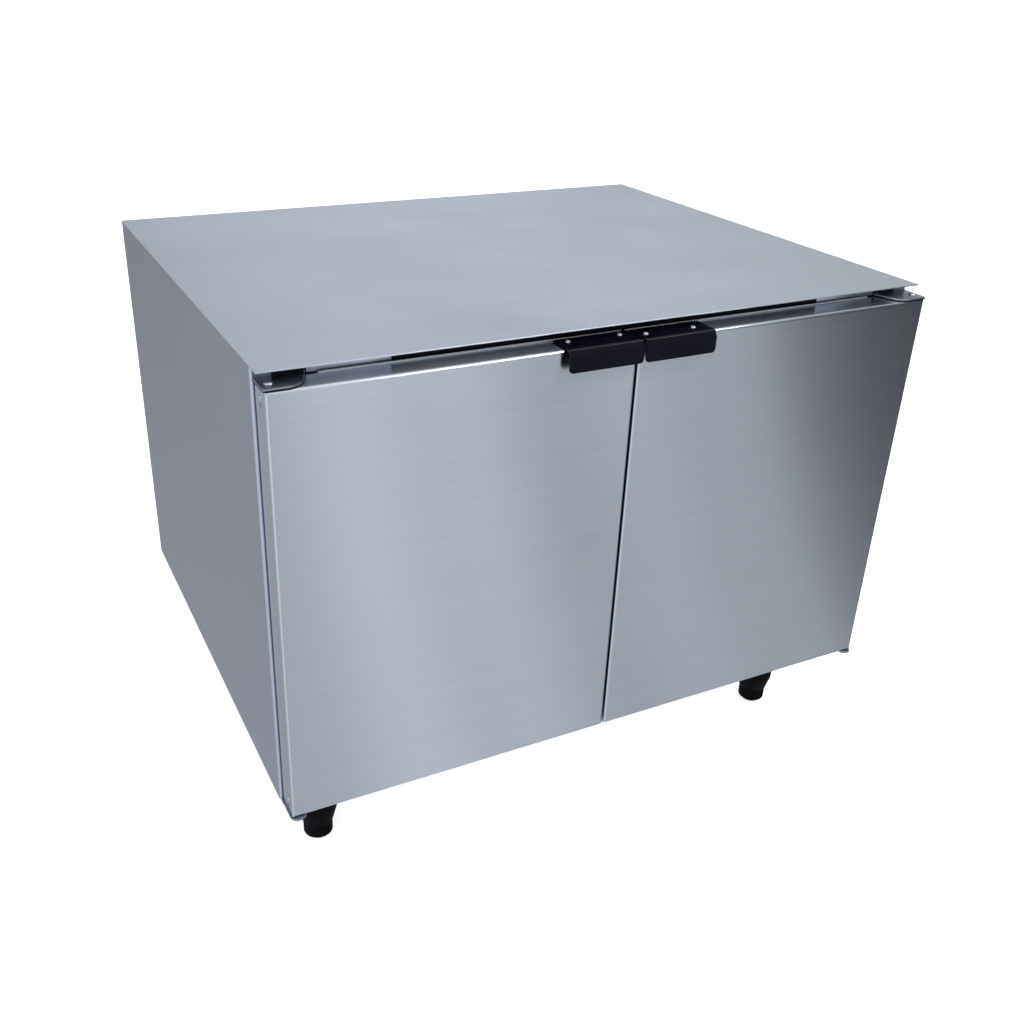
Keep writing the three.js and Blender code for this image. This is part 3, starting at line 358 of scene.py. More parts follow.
def add_piece(name, bm, look, stands_for=(), body=None, even=False):
    """Turns bm into a shown piece. It rides as the nodes that it stands for do, and hides them."""
    bmesh.ops.recalc_face_normals(bm, faces=bm.faces)
    mesh = bpy.data.meshes.new(name)
    bm.to_mesh(mesh)
    bm.free()
    mesh.shade_smooth()
    mesh.set_sharp_from_angle(angle=SMOOTH_ANGLE)
    mesh.materials.append(LOOKS[look])
    piece = bpy.data.objects.new(name, mesh)
    scene.collection.objects.link(piece)
    if even:
        piece.modifiers.new("even_faces", "WEIGHTED_NORMAL").keep_sharp = True
    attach(piece, body or BODY_OF[stands_for[0]])
    if stands_for:
        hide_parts(*stands_for)
    return piece


def eased(node, look, edge=0.4, segments=3, least_angle=30):
    """The node's own shape, with its sharp edges eased to a small radius in millimetres."""
    bm = bmesh.new()
    bm.from_mesh(frame["nodes"][node].data)
    bmesh.ops.remove_doubles(bm, verts=bm.verts, dist=0.002 * MM)
    bmesh.ops.dissolve_limit(bm, angle_limit=math.radians(0.4), verts=bm.verts, edges=bm.edges)
    limit = math.radians(least_angle)
    sharp = [e for e in bm.edges if len(e.link_faces) == 2 and e.calc_face_angle(0) > limit]
    bmesh.ops.bevel(
        bm, geom=sharp, offset=edge * MM, segments=segments, profile=0.5, affect="EDGES", clamp_overlap=True
    )
    return add_piece(f"{node}_finished", bm, look, (node,), even=True)


def join_rings(bm, rings):
    """Skins the rings of points in turn. A ring of one point is a tip."""
    for first, second in zip(rings, rings[1:]):
        count = max(len(first), len(second))
        for step in range(count):
            after = (step + 1) % count
            corners = [first[step % len(first)], first[after % len(first)]]
            corners += [second[after % len(second)], second[step % len(second)]]
            corners = list(dict.fromkeys(corners))
            if len(corners) > 2:
                bm.faces.new(corners)


def add_lathe(bm, profile, place, direction=(0, 0, 1), segments=48):
    """Turns (radius, height) points in millimetres about an axis; ends on the axis are closed."""
    turn = Vector((0, 0, 1)).rotation_difference(Vector(direction)).to_matrix()
    place = Vector(place)
    rings = []
    for radius, height in profile:
        if radius == 0:
            rings.append([bm.verts.new(place + turn @ Vector((0, 0, height * MM)))])
            continue
        ring = []
        for step in range(segments):
            angle = step * math.tau / segments
            local = Vector((radius * math.cos(angle), radius * math.sin(angle), height)) * MM
            ring.append(bm.verts.new(place + turn @ local))
        rings.append(ring)
    join_rings(bm, rings)


def rounded_route(points, bend, steps=6):
    """A polyline in metres with its corners rounded."""
    route = [Vector(points[0])]
    for before, middle, after in zip(points, points[1:], points[2:]):
        corner = Vector(middle)
        back = Vector(before) - corner
        ahead = Vector(after) - corner
        reach = min(bend, back.length * 0.48, ahead.length * 0.48)
        start = corner + back.normalized() * reach
        end = corner + ahead.normalized() * reach
        for step in range(steps + 1):
            share = step / steps
            route.append(start.lerp(corner, share).lerp(corner.lerp(end, share), share))
    route.append(Vector(points[-1]))
    return route


def add_tube(bm, route, radius, sides=10, closed=False):
    """A round bar along a route, carried round its bends without twisting."""
    count = len(route)
    across = (route[1] - route[0]).orthogonal().normalized()
    rings = []
    for index, point in enumerate(route):
        after = (index + 1) % count if closed else min(index + 1, count - 1)
        before = (index - 1) % count if closed else max(index - 1, 0)
        ahead = (route[after] - route[before]).normalized()
        across = (across - ahead * across.dot(ahead)).normalized()
        other = ahead.cross(across)
        angles = [side * math.tau / sides for side in range(sides)]
        rings.append([
            bm.verts.new(point + (across * math.cos(angle) + other * math.sin(angle)) * radius)
            for angle in angles
        ])
    join_rings(bm, rings + rings[:1] if closed else rings)
    if not closed:
        bm.faces.new(rings[0][::-1])
        bm.faces.new(rings[-1])


def add_bar(bm, low, high, edge=0.3):
    """A box between two corners, with its edges eased to a radius in millimetres."""
    low, high = Vector(low), Vector(high)
    made = bmesh.ops.create_cube(bm, size=1.0)["verts"]
    size = high - low
    bmesh.ops.scale(bm, vec=size, verts=made)
    bmesh.ops.translate(bm, vec=(low + high) / 2, verts=made)
    if edge:
        edges = list({e for v in made for e in v.link_edges})
        bmesh.ops.bevel(bm, geom=edges, offset=edge * MM, segments=2, profile=0.5, affect="EDGES")


# A pan head's outline, as shares of its radius and height, and its cross recess as shares of the same.
SCREW_RINGS = (
    (1.0, 0.0), (1.0, 0.3), (0.93, 0.62), (0.8, 0.85), (0.62, 0.97), (0.52, 1.0), (0.42, 1.0), (0.3, 1.0),
    (0.18, 1.0),
)
CROSS_REACH, CROSS_HALF_WIDTH, CROSS_DEPTH = 0.6, 0.13, 0.55


def add_screw(bm, place, direction, radius, height, turn_degrees=20):
    """A pan head with a cross recess, standing on a face."""
    place, up = Vector(place), Vector(direction).normalized()
    across = up.orthogonal().normalized()
    across.rotate(Matrix.Rotation(math.radians(turn_degrees), 3, up))
    other = up.cross(across)
    segments = 32
    rings = []
    for share, rise in SCREW_RINGS:
        ring = []
        for step in range(segments):
            angle = step * math.tau / segments
            u, v = share * math.cos(angle), share * math.sin(angle)
            in_cross = share < CROSS_REACH and min(abs(u), abs(v)) < CROSS_HALF_WIDTH
            depth = rise - (CROSS_DEPTH if in_cross else 0.0)
            ring.append(bm.verts.new(place + (across * u + other * v) * radius + up * (depth * height)))
        rings.append(ring)
    join_rings(bm, rings)
    bm.faces.new(rings[-1])
    bm.faces.new(rings[0][::-1])


def surface_only(node, look):
    """Keeps the node's own shape and gives it a look."""
    mesh = frame["nodes"][node].data
    mesh.materials.clear()
    mesh.materials.append(LOOKS[look])


def middle_of(node):
    low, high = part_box(node)
    return (low + high) / 2


TURNING_JOINTS = [joint for joint in record["behaviour"]["joints"] if "pos_m" in joint]
JOINT_AT = {joint["name"]: Vector(joint["pos_m"]) for joint in TURNING_JOINTS}


# ---- cabinet ----

def make_cabinet():
    eased("top_panel", "top_steel", 0.45)
    for side in SIDES:
        eased(f"{side}_side_panel", "shaded_side_steel", 0.3)
    eased("bottom_panel", "zinc", 0.3)
    eased("back_panel", "shaded_side_steel", 0.25, segments=2)
    eased("inner_liner", "liner", 0.3)
    eased("face_frame", "frame_steel", 0.3)
    eased("breaker_strip", "grey_plastic", 1.2)
    eased("centre_mullion", "frame_steel", 0.3)
    surface_only("cabinet_insulation", "foam")


def make_header():
    """A black strip of painted shade over the gap above the doors, and the light plates that stiffen the
    header by the hinges.
    """
    strip_height, strip_sheet = 17 * MM, 0.6 * MM
    plate_height, plate_length, plate_sheet = 12 * MM, 97 * MM, 1.2 * MM
    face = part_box("face_frame")[0].y - 0.1 * MM
    bracket_low, bracket_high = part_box("right_top_hinge_bracket")
    above_bracket = bracket_low.z + 2.3 * MM
    high = bracket_high.z
    strip = bmesh.new()
    inner, outer = bracket_low.x - 1 * MM, bracket_high.x - 21 * MM
    front = face - strip_sheet
    add_bar(strip, (-inner, front, high - strip_height), (inner, face, high), 0.15)
    for sign in SIDES.values():
        ends = sorted((sign * (inner + 0.2 * MM), sign * outer))
        add_bar(strip, (ends[0], front, above_bracket), (ends[1], face, high), 0.15)
    add_piece("header_painted_shade_strip", strip, "gasket", body="cabinet")
    plates = bmesh.new()
    back = front - 0.1 * MM
    for sign in SIDES.values():
        start = inner - 1 * MM
        ends = sorted((sign * start, sign * (start - plate_length)))
        add_bar(plates, (ends[0], back - plate_sheet, high - plate_height), (ends[1], back, high), 0.25)
    add_piece("header_hinge_plates", plates, "bright_steel", body="cabinet")


def make_back_screws():
    """Sheet-metal screws round the edge of the back panel."""
    low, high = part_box("back_panel")
    inset = 9 * MM
    bm = bmesh.new()
    columns = [low.x + inset, low.x / 2, 0.0, high.x / 2, high.x - inset]
    rows = [low.z + inset, (low.z + high.z) / 2, high.z - inset]
    for x in columns:
        for z in rows:
            if z == rows[1] and x not in (columns[0], columns[-1]):
                continue
            add_screw(bm, (x, high.y, z), (0, 1, 0), 4 * MM, 2 * MM, turn_degrees=17 + 60 * x / high.x)
    add_piece("back_panel_screws", bm, "bright_steel", body="cabinet")


# ---- doors ----

# Distance in from the outer edge and out from the door, in millimetres: a flap that closes the gap
# towards the door's edge, then two soft bulbs.
GASKET_PROFILE = (
    (0.2, 0.2), (2, 0.2), (16, 0), (16, 1.1), (14.4, 1.5), (13.9, 2.5), (13.0, 3.4), (11.9, 3.7), (10.6, 3.4),
    (9.5, 2.7), (8.4, 3.4), (7.1, 3.7), (6.0, 3.4), (4.0, 3.1), (1.4, 3.7), (0.2, 3.7), (0, 3.2), (1.0, 2.2),
    (0, 0.6),
)


def make_gasket(side):
    """A magnetic gasket, mitred at the corners."""
    node = f"{side}_door_gasket"
    low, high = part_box(node)
    bm = bmesh.new()
    corners = []
    for right, top in ((0, 0), (1, 0), (1, 1), (0, 1)):
        ring = []
        for inset, depth in GASKET_PROFILE:
            x = high.x - inset * MM if right else low.x + inset * MM
            z = high.z - inset * MM if top else low.z + inset * MM
            ring.append(bm.verts.new((x, low.y + depth * MM, z)))
        corners.append(ring)
    count = len(GASKET_PROFILE)
    for first, second in zip(corners, corners[1:] + corners[:1]):
        for index in range(count):
            after = (index + 1) % count
            bm.faces.new((first[index], first[after], second[after], second[index]))
    add_piece(f"{side}_gasket", bm, "gasket", (node,))


def make_bushing(side):
    """A moulded bearing that the lower pin stands in."""
    node = f"{side}_door_bushing"
    low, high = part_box(node)
    radius, height, bore, web = (high.x - low.x) / 2 / MM, (high.z - low.z) / MM, 4.6, 3
    inside = [(0, height - web), (bore, height - web), (bore, 0)]
    outside = [(radius - 0.6, 0), (radius, 0.6), (radius, height), (0, height)]
    bm = bmesh.new()
    middle = middle_of(node)
    add_lathe(bm, inside + outside, (middle.x, middle.y, low.z))
    add_piece(f"{side}_hinge_bushing", bm, "white_plastic", (node,))


# Handle screws in millimetres: distances from the meeting end, and distance in front of the rear edge.
HANDLE_SCREWS = {"left": ((17.0, 87.5), 11.5), "right": ((11.2, 79.6), 20.5)}


def make_door_fasteners(side):
    sign = SIDES[side]
    name = f"{side}_door"
    low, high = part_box(f"{name}_handle")
    near = low.x if sign > 0 else high.x
    distances, forward = HANDLE_SCREWS[side]
    bm = bmesh.new()
    for distance in distances:
        place = (near + sign * distance * MM, high.y - forward * MM, high.z - 0.15 * MM)
        add_screw(bm, place, (0, 0, 1), 3.6 * MM, 1.6 * MM, 35)
    add_piece(f"{side}_handle_screws", bm, "bright_steel", body=name)

    low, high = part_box(f"{name}_skin")
    outer = low.x if sign < 0 else high.x
    screws, slot_shade = bmesh.new(), bmesh.new()
    for y, z in ((high.y - 17.5 * MM, high.z - 13.5 * MM), (high.y - 22 * MM, low.z + 19 * MM)):
        add_screw(screws, (outer, y, z), (sign, 0, 0), 2.6 * MM, 0.9 * MM, 10)
        # Below each screw a thin black bar: painted shade standing for the dark inside of a slot.
        ends = sorted((outer - sign * 0.2 * MM, outer + sign * 0.15 * MM))
        add_bar(slot_shade, (ends[0], y - 0.8 * MM, z - 11 * MM), (ends[1], y + 0.8 * MM, z - 6 * MM), 0.1)
    add_piece(f"{side}_door_side_screws", screws, "bright_steel", body=name)
    add_piece(f"{side}_door_side_slot_shade", slot_shade, "gasket", body=name)


def make_lip_painted_highlight(side):
    """A pale strip along the raised rear lip of the door: a painted highlight for the lip's lit edge."""
    sign = SIDES[side]
    low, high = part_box(f"{side}_door_skin")
    meeting, hinge = (high.x, low.x) if sign < 0 else (low.x, high.x)
    ends = sorted((meeting + sign * 1 * MM, hinge - sign * 68 * MM))
    bm = bmesh.new()
    lower = (ends[0], high.y - 1.5 * MM, high.z - 1.2 * MM)
    upper = (ends[1], high.y + 0.5 * MM, high.z + 0.4 * MM)
    add_bar(bm, lower, upper, 0.35)
    add_piece(f"{side}_door_lip_painted_highlight", bm, "white_plastic", body=f"{side}_door")


def make_door(side):
    eased(f"{side}_door_skin", "door_steel", 0.3)
    eased(f"{side}_door_liner", "white_plastic", 1.4, segments=4)
    eased(f"{side}_door_handle", "handle_coat", 0.5)
    surface_only(f"{side}_door_insulation", "foam")
    make_lip_painted_highlight(side)
    make_gasket(side)
    make_bushing(side)
    make_door_fasteners(side)


# ---- hinges ----

def make_hinge_shade_pad(side):
    """A black pad beneath the top bracket, in the bracket's own outline: painted shadow along the gap under
    the bracket.
    """
    node = f"{side}_top_hinge_bracket"
    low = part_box(node)[0]
    bm = bmesh.new()
    bm.from_mesh(frame["nodes"][node].data)
    bmesh.ops.remove_doubles(bm, verts=bm.verts, dist=0.002 * MM)
    upper = [f for f in bm.faces if f.normal.z > -0.99 or f.calc_center_median().z > low.z + 0.1 * MM]
    bmesh.ops.delete(bm, geom=upper, context="FACES")
    bmesh.ops.dissolve_limit(bm, angle_limit=math.radians(0.4), verts=bm.verts, edges=bm.edges)
    moved = bmesh.ops.extrude_face_region(bm, geom=bm.faces[:])["geom"]
    bottom = [v for v in moved if isinstance(v, bmesh.types.BMVert)]
    bmesh.ops.translate(bm, verts=bottom, vec=(0, 0, -1.3 * MM))
    add_piece(f"{side}_hinge_shade_pad", bm, "gasket", body="cabinet")


def make_hinges(side):
    make_hinge_shade_pad(side)
    for level in ("top", "lower"):
        eased(f"{side}_{level}_hinge_bracket", "hinge_steel", 0.4)
        node = f"{side}_{level}_hinge_pin"
        low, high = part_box(node)
        middle = middle_of(node)
        radius = (high.x - low.x) / 2 / MM
        height = (high.z - low.z) / MM
        if level == "top":
            shank = 4.0
            head = height - 2.5
            dome = [(radius, head + 0.6), (4.5, head + 1.3), (3.5, head + 1.9), (2.0, head + 2.35)]
            profile = [(0, 0), (shank - 0.8, 0), (shank, 0.8), (shank, head), (radius, head), *dome]
        else:
            shank = 4.5
            profile = [(0, 0), (radius - 1.5, 0), (radius - 0.4, 0.5), (radius, 1.1), (radius, 2)]
            profile += [(shank, 2), (shank, height - 0.9), (shank - 0.9, height)]
        bm = bmesh.new()
        add_lathe(bm, [*profile, (0, height)], (middle.x, middle.y, low.z))
        add_piece(f"{node}_turned", bm, "bright_steel", (node,))


# ---- legs and feet ----

def make_leg(corner):
    middle = middle_of(f"{corner}_leg")
    stud_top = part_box(f"{corner}_leg")[1].z / MM
    top = stud_top - 10
    profile = [
        (0, stud_top), (5.4, stud_top), (6, stud_top - 0.6), (6, top), (37, top), (38, top - 1),
        (38, top - 4), (37, top - 5), (33, top - 6), (30.4, top - 9), (30, top - 12), (27.7, 52), (27.4, 48),
        (26.2, 44), (21.6, 26.4), (21, 24.6), (20.4, 24.3), (9.6, 24.3), (9.6, 82), (0, 82),
    ]
    bm = bmesh.new()
    add_lathe(bm, profile, (middle.x, middle.y, 0), segments=64)
    add_piece(f"{corner}_leg_turned", bm, "leg_plastic", (f"{corner}_leg",))

    bolts = bmesh.new()
    for turn in range(4):
        angle = math.radians(45 + 90 * turn)
        across = Vector((math.cos(angle), math.sin(angle), 0)) * 34.6 * MM
        place = Vector((middle.x, middle.y, (top - 5.5) * MM)) + across
        add_screw(bolts, place, (0, 0, -1), 2.6 * MM, 1.6 * MM)
    add_piece(f"{corner}_leg_screws", bolts, "bright_steel", body="cabinet")

    pitch, depth, radius, height = 2.5, 0.8, 9, 24.0
    thread = []
    while height + pitch < 74:
        thread += [(radius - depth, height), (radius, height + pitch * 0.45), (radius, height + pitch * 0.6)]
        height += pitch
    profile = [
        (0, 0), (13.4, 0), (14, 0.4), (19.9, 5.9), (20.5, 7.2), (20.5, 10), (20.1, 10.4), (20.1, 11.4),
        (20.5, 11.8), (20.5, 22.6), (20, 23.6), (19, 24), *thread, (8, 76), (0, 76),
    ]
    bm = bmesh.new()
    add_lathe(bm, profile, (middle.x, middle.y, 0), segments=64)
    add_piece(f"{corner}_foot_turned", bm, "leg_plastic", (f"{corner}_foot",))


# ---- shelves ----

def make_shelf(side):
    """A frame of thick wire with thinner wires welded across it."""
    node = f"{side}_shelf"
    low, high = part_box(node)
    thick, thin, pitch = 3 * MM, 1.8 * MM, 27 * MM
    level = low.z + thick
    x0, x1, y0, y1 = low.x + thick, high.x - thick, low.y + thick, high.y - thick
    half = (x0 + x1) / 2
    corners = [(half, y0), (x1, y0), (x1, y1), (x0, y1), (x0, y0), (half, y0)]
    bm = bmesh.new()
    outline = rounded_route([Vector((x, y, level)) for x, y in corners], 10 * MM)
    add_tube(bm, outline[:-1], thick, 12, closed=True)
    middle_y = (y0 + y1) / 2
    add_tube(bm, [Vector((x0, middle_y, level)), Vector((x1, middle_y, level))], thick, 12)
    x = low.x + pitch
    while x < high.x - pitch / 2:
        ends = [Vector((x, y0, level + 2 * MM)), Vector((x, y1, level + 2 * MM))]
        add_tube(bm, ends, thin, 8)
        x += pitch
    add_piece(f"{side}_wire_shelf", bm, "wire_coat", (node,))
    eased(f"{side}_shelf_rail", "frame_steel", 0.3)


# ---- fans ----

def add_blades(bm, place, radius, hub, depth, count, sheet=1.4, pitch=24, rows=9, columns=7):
    """Cambered fan blades and their hub, turning about +Y through place."""
    tilt = math.radians(pitch)
    hub_shape = [(hub - 1, -depth / 2), (hub, 1 - depth / 2), (hub, depth / 2 - 1), (hub - 1, depth / 2)]
    bore = [(3.5, depth / 2), (3.5, -depth / 2)]
    add_lathe(bm, [*hub_shape, *bore, hub_shape[0]], place, (0, 1, 0))
    for index in range(count):
        turn = index * math.tau / count
        faces = []
        for offset in (-sheet / 2, sheet / 2):
            grid = []
            for row in range(rows):
                out = row / (rows - 1)
                line = []
                for column in range(columns):
                    across = column / (columns - 1)
                    tip = radius * (1 - 0.55 * (across - 0.45) ** 2)
                    reach = hub - 1 + out * (tip - hub + 1)
                    spread = out ** 0.7
                    start = -hub * 0.45 + (hub * 0.45 - radius * 0.34) * spread
                    end = hub * 0.5 + (radius * 0.3 - hub * 0.5) * spread
                    chord = start + across * (end - start)
                    camber = radius * 0.03 * math.sin(across * math.pi)
                    along = -chord * math.sin(tilt) + offset + camber
                    side = chord * math.cos(tilt)
                    x = reach * math.cos(turn) + side * math.sin(turn)
                    z = -reach * math.sin(turn) + side * math.cos(turn)
                    line.append(bm.verts.new(Vector(place) + Vector((x, along, z)) * MM))
                grid.append(line)
            for first, second in zip(grid, grid[1:]):
                for column in range(columns - 1):
                    bm.faces.new((first[column], first[column + 1], second[column + 1], second[column]))
            faces.append(grid[0] + [line[-1] for line in grid[1:]] + grid[-1][-2::-1]
                         + [line[0] for line in grid[-2:0:-1]])
        rim = len(faces[0])
        for step in range(rim):
            after = (step + 1) % rim
            bm.faces.new((faces[0][step], faces[0][after], faces[1][after], faces[1][step]))


def make_fan(node, radius, hub, depth, look):
    middle = middle_of(node)
    axis = JOINT_AT[node.replace("_blade", "_spin")]
    bm = bmesh.new()
    add_blades(bm, (axis.x, middle.y, axis.z), radius, hub, depth, 5)
    add_piece(f"{node}_pressed", bm, look, (node,))


def add_motor_can(bm, place, radius, length, direction):
    """A motor's drawn can with stepped ends and a seam, along direction from its rear face."""
    shape = [
        (0, 0), (radius * 0.35, 0), (radius * 0.4, -1.2), (radius * 0.86, -1.2), (radius, 1.5), (radius, 9),
        (radius - 0.8, 9.4), (radius - 0.8, 10.6), (radius, 11), (radius, length - 2),
        (radius - 2, length), (radius * 0.4, length), (radius * 0.3, length + 3), (0, length + 3),
    ]
    add_lathe(bm, shape, place, direction, 56)


def make_evaporator_motor():
    node = "evaporator_fan_motor"
    low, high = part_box(node)
    axis = JOINT_AT["evaporator_fan_spin"]
    bm = bmesh.new()
    add_motor_can(bm, (axis.x, high.y - 1.2 * MM, axis.z), 22, 26.5, (0, -1, 0))
    add_lathe(bm, [(0, 0), (3, 0), (3, 42), (2.4, 42.6), (0, 42.6)], (axis.x, high.y, axis.z), (0, -1, 0), 24)
    add_bar(bm, (axis.x - 8 * MM, high.y - 3 * MM, low.z), (axis.x + 8 * MM, high.y - 1 * MM, high.z), 0.3)
    add_piece(f"{node}_built", bm, "black_paint", (node,))


def make_condenser_motor():
    node = "condenser_fan_motor"
    low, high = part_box(node)
    axis = JOINT_AT["condenser_fan_spin"]
    length = 67
    bm = bmesh.new()
    add_motor_can(bm, (axis.x, low.y + 1.2 * MM, axis.z), 36, length - 1.2, (0, 1, 0))
    reach = (high.y - low.y) / MM
    shaft = [(0, 60), (4, 60), (4, reach - 0.6), (3.4, reach), (0, reach)]
    add_lathe(bm, shaft, (axis.x, low.y, axis.z), (0, 1, 0), 24)
    half, sheet = 30 * MM, 3 * MM
    front = low.y + 8 * MM
    add_bar(bm, (axis.x - half, front, low.z + 1 * MM), (axis.x + half, front + sheet, axis.z), 0.5)
    foot_back = low.y + (length - 2) * MM
    add_bar(bm, (axis.x - half, front, low.z), (axis.x + half, foot_back, low.z + sheet), 0.5)
    add_piece(f"{node}_built", bm, "black_paint", (node,))


def make_fan_guard():
    """Rings of round wire on spokes that stand on the cover."""
    node = "evaporator_fan_guard"
    low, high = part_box(node)
    axis = JOINT_AT["evaporator_fan_spin"]
    wire, steps = 1.5 * MM, 56
    centre = Vector((axis.x, low.y + wire, axis.z))
    bm = bmesh.new()
    for radius in (22 * MM, 42 * MM, 62 * MM):
        angles = [step * math.tau / steps for step in range(steps)]
        ring = [centre + Vector((math.cos(angle), 0, math.sin(angle))) * radius for angle in angles]
        add_tube(bm, ring, wire, 10, closed=True)
    for degrees in (0, 45, 90, 135):
        angle = math.radians(degrees)
        arm = Vector((math.cos(angle), 0, math.sin(angle))) * 66 * MM
        middle = Vector((axis.x, low.y + wire * 1.6, axis.z))
        foot = Vector((0, high.y - middle.y - wire * 0.6, 0))
        route = [middle - arm + foot, middle - arm, middle + arm, middle + arm + foot]
        add_tube(bm, rounded_route(route, 3 * MM), wire * 0.6, 8)
    add_piece(f"{node}_wire", bm, "black_paint", (node,))


# ---- cooling equipment ----

RETURN_REACH = 15 * MM  # how far a coil's return bends stand beyond its end plates
COIL_ROW = 56 * MM


def make_coil(node, fin_pitch):
    low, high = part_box(node)
    x0, x1 = low.x + RETURN_REACH, high.x - RETURN_REACH
    fins = bmesh.new()
    inset = 2 * MM
    count = round((x1 - x0) / fin_pitch)
    for index in range(1, count):
        x = x0 + (x1 - x0) * index / count
        ends = (x - 0.15 * MM, low.y + inset, low.z + inset), (x + 0.15 * MM, high.y - inset, high.z - inset)
        add_bar(fins, *ends, 0)
    for x in (x0, x1):
        add_bar(fins, (x - 1 * MM, low.y, low.z), (x + 1 * MM, high.y, high.z), 0.3)
    add_piece(f"{node}_fins", fins, "aluminium", (node,))

    tubes = bmesh.new()
    bend, radius = 11 * MM, 4 * MM
    y = (low.y + high.y) / 2
    z = low.z + COIL_ROW / 2 + 2 * MM
    while z < high.z - COIL_ROW / 3:
        for x, sign in ((x0, -1), (x1, 1)):
            route = [Vector((x - sign * 3 * MM, y, z - bend)), Vector((x, y, z - bend))]
            for step in range(1, 12):
                angle = math.pi * step / 12
                route.append(Vector((x + sign * bend * math.sin(angle), y, z - bend * math.cos(angle))))
            route += [Vector((x, y, z + bend)), Vector((x - sign * 3 * MM, y, z + bend))]
            add_tube(tubes, route, radius, 12)
        for height in (z - bend, z + bend):
            add_tube(tubes, [Vector((x0 + 4 * MM, y, height)), Vector((x1 - 4 * MM, y, height))], radius, 10)
        z += COIL_ROW
    add_piece(f"{node}_tubes", tubes, "copper", body="cabinet")


def make_compressor():
    node = "compressor"
    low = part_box(node)[0]
    x, y = middle_of(node).x, middle_of(node).y
    foot = low.z / MM
    radius = 72
    shell = [
        (0, 14), (54, 14), (64, 20), (70, 30), (72, 44), (72, 95), (73.5, 95.4), (75, 96.4), (75, 100.6),
        (73.5, 101.6), (71.6, 102), (71.6, 128), (69.6, 142), (64, 154), (54, 164), (40, 173), (22, 179.6),
        (10, 181.6), (0, 182),
    ]
    bm = bmesh.new()
    add_lathe(bm, [(r, h + foot) for r, h in shell], (x, y, 0), segments=80)
    add_bar(bm, (x - 95 * MM, y - 48 * MM, low.z + 10 * MM), (x + 95 * MM, y + 48 * MM, low.z + 15 * MM), 1.2)
    box_x = x + (radius - 8) * MM, x + (radius + 24) * MM
    box_z = low.z + 55 * MM, low.z + 115 * MM
    add_bar(bm, (box_x[0], y - 27 * MM, box_z[0]), (box_x[1], y + 27 * MM, box_z[1]), 2.5)
    add_bar(bm, (box_x[1] - 9 * MM, y - 28 * MM, box_z[0] - 1 * MM),
            (box_x[1] - 6 * MM, y + 28 * MM, box_z[1] + 1 * MM), 0.8)
    add_piece("compressor_shell", bm, "black_paint", (node,))

    grommet = [(0, 0), (11, 0), (12, 1), (12, 4), (9.5, 5.2), (12, 6.4), (12, 9), (11, 10), (0, 10)]
    bolt = [(0, 0), (8, 0), (8, 1.2), (5, 1.3), (5, 5), (4.2, 5.6), (0, 5.6)]
    mounts, bolts = bmesh.new(), bmesh.new()
    for across in (-82, 82):
        for along in (-36, 36):
            place = (x + across * MM, y + along * MM)
            add_lathe(mounts, grommet, (*place, low.z), segments=32)
            add_lathe(bolts, bolt, (*place, low.z + 15 * MM), segments=24)
    add_piece("compressor_grommets", mounts, "sleeve", body="cabinet")
    add_piece("compressor_bolts", bolts, "zinc", body="cabinet")


def make_refrigerant_lines():
    """The pipes between the compressor, the condenser and the insulated wall."""
    compressor = middle_of("compressor")
    coil_low, coil_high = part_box("condenser_coil")
    coil_y = (coil_low.y + coil_high.y) / 2
    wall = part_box("cabinet_insulation")[1].y
    left_end = coil_low.x + RETURN_REACH
    above = 0.43
    side_step = 46 * MM

    def along(*points):
        return rounded_route([Vector(point) for point in points], 14 * MM)

    pipes = bmesh.new()
    start = (compressor.x + side_step, compressor.y + 40 * MM)
    beside, inlet_z = left_end - 60 * MM, coil_high.z - 16 * MM
    add_tube(pipes, along(
        (*start, 0.30), (*start, above), (beside, start[1], above), (beside, coil_y, inlet_z),
        (left_end + 4 * MM, coil_y, inlet_z),
    ), 3.2 * MM, 14)
    drier_x, drier_y = left_end - 42 * MM, coil_y - 26 * MM
    outlet_z = coil_low.z + 12 * MM
    add_tube(pipes, along(
        (left_end + 4 * MM, coil_y, outlet_z), (drier_x, coil_y, outlet_z),
        (drier_x, drier_y, outlet_z + 26 * MM), (drier_x, drier_y, outlet_z + 62 * MM),
    ), 3.2 * MM, 14)
    drier = [(0, 0), (3.5, 0), (4, 6), (11, 14), (12, 18), (12, 92), (11, 96), (4, 104), (2.5, 112), (0, 112)]
    add_lathe(pipes, drier, (drier_x, drier_y, outlet_z + 58 * MM), segments=32)
    capillary = []
    turns, loop = 4, 24 * MM
    for step in range(turns * 24 + 1):
        angle = step * math.tau / 24
        rise = outlet_z + 172 * MM + step * 0.16 * MM
        capillary.append(Vector((
            drier_x - loop + loop * math.cos(angle), drier_y + loop * 0.3 * math.sin(angle), rise,
        )))
    capillary += along(
        tuple(capillary[-1]), (drier_x, drier_y, 0.50), (drier_x, wall + 20 * MM, 0.52),
        (-0.060, wall + 20 * MM, 0.60), (-0.060, wall, 0.60),
    )[1:]
    add_tube(pipes, capillary, 1.3 * MM, 8)
    add_piece("refrigerant_pipes", pipes, "copper", body="cabinet")

    suction = bmesh.new()
    start = (compressor.x - side_step, compressor.y + 34 * MM)
    add_tube(suction, along(
        (*start, 0.305), (*start, 0.60), (start[0], wall + 22 * MM, 0.60),
        (-0.090, wall + 22 * MM, 0.60), (-0.090, wall, 0.60),
    ), 8.5 * MM, 20)
    add_piece("suction_line_sleeve", suction, "sleeve", body="cabinet")


def make_drain():
    node = "drain_tube"
    low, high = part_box(node)
    x = middle_of(node).x
    radius = 5 * MM
    bm = bmesh.new()
    level, drop = high.z - radius, high.y - radius
    route = [(x, low.y, level), (x, drop, level), (x, drop, low.z)]
    add_tube(bm, rounded_route(route, 16 * MM, 10), radius, 24)
    add_piece("drain_hose", bm, "white_plastic", (node,))


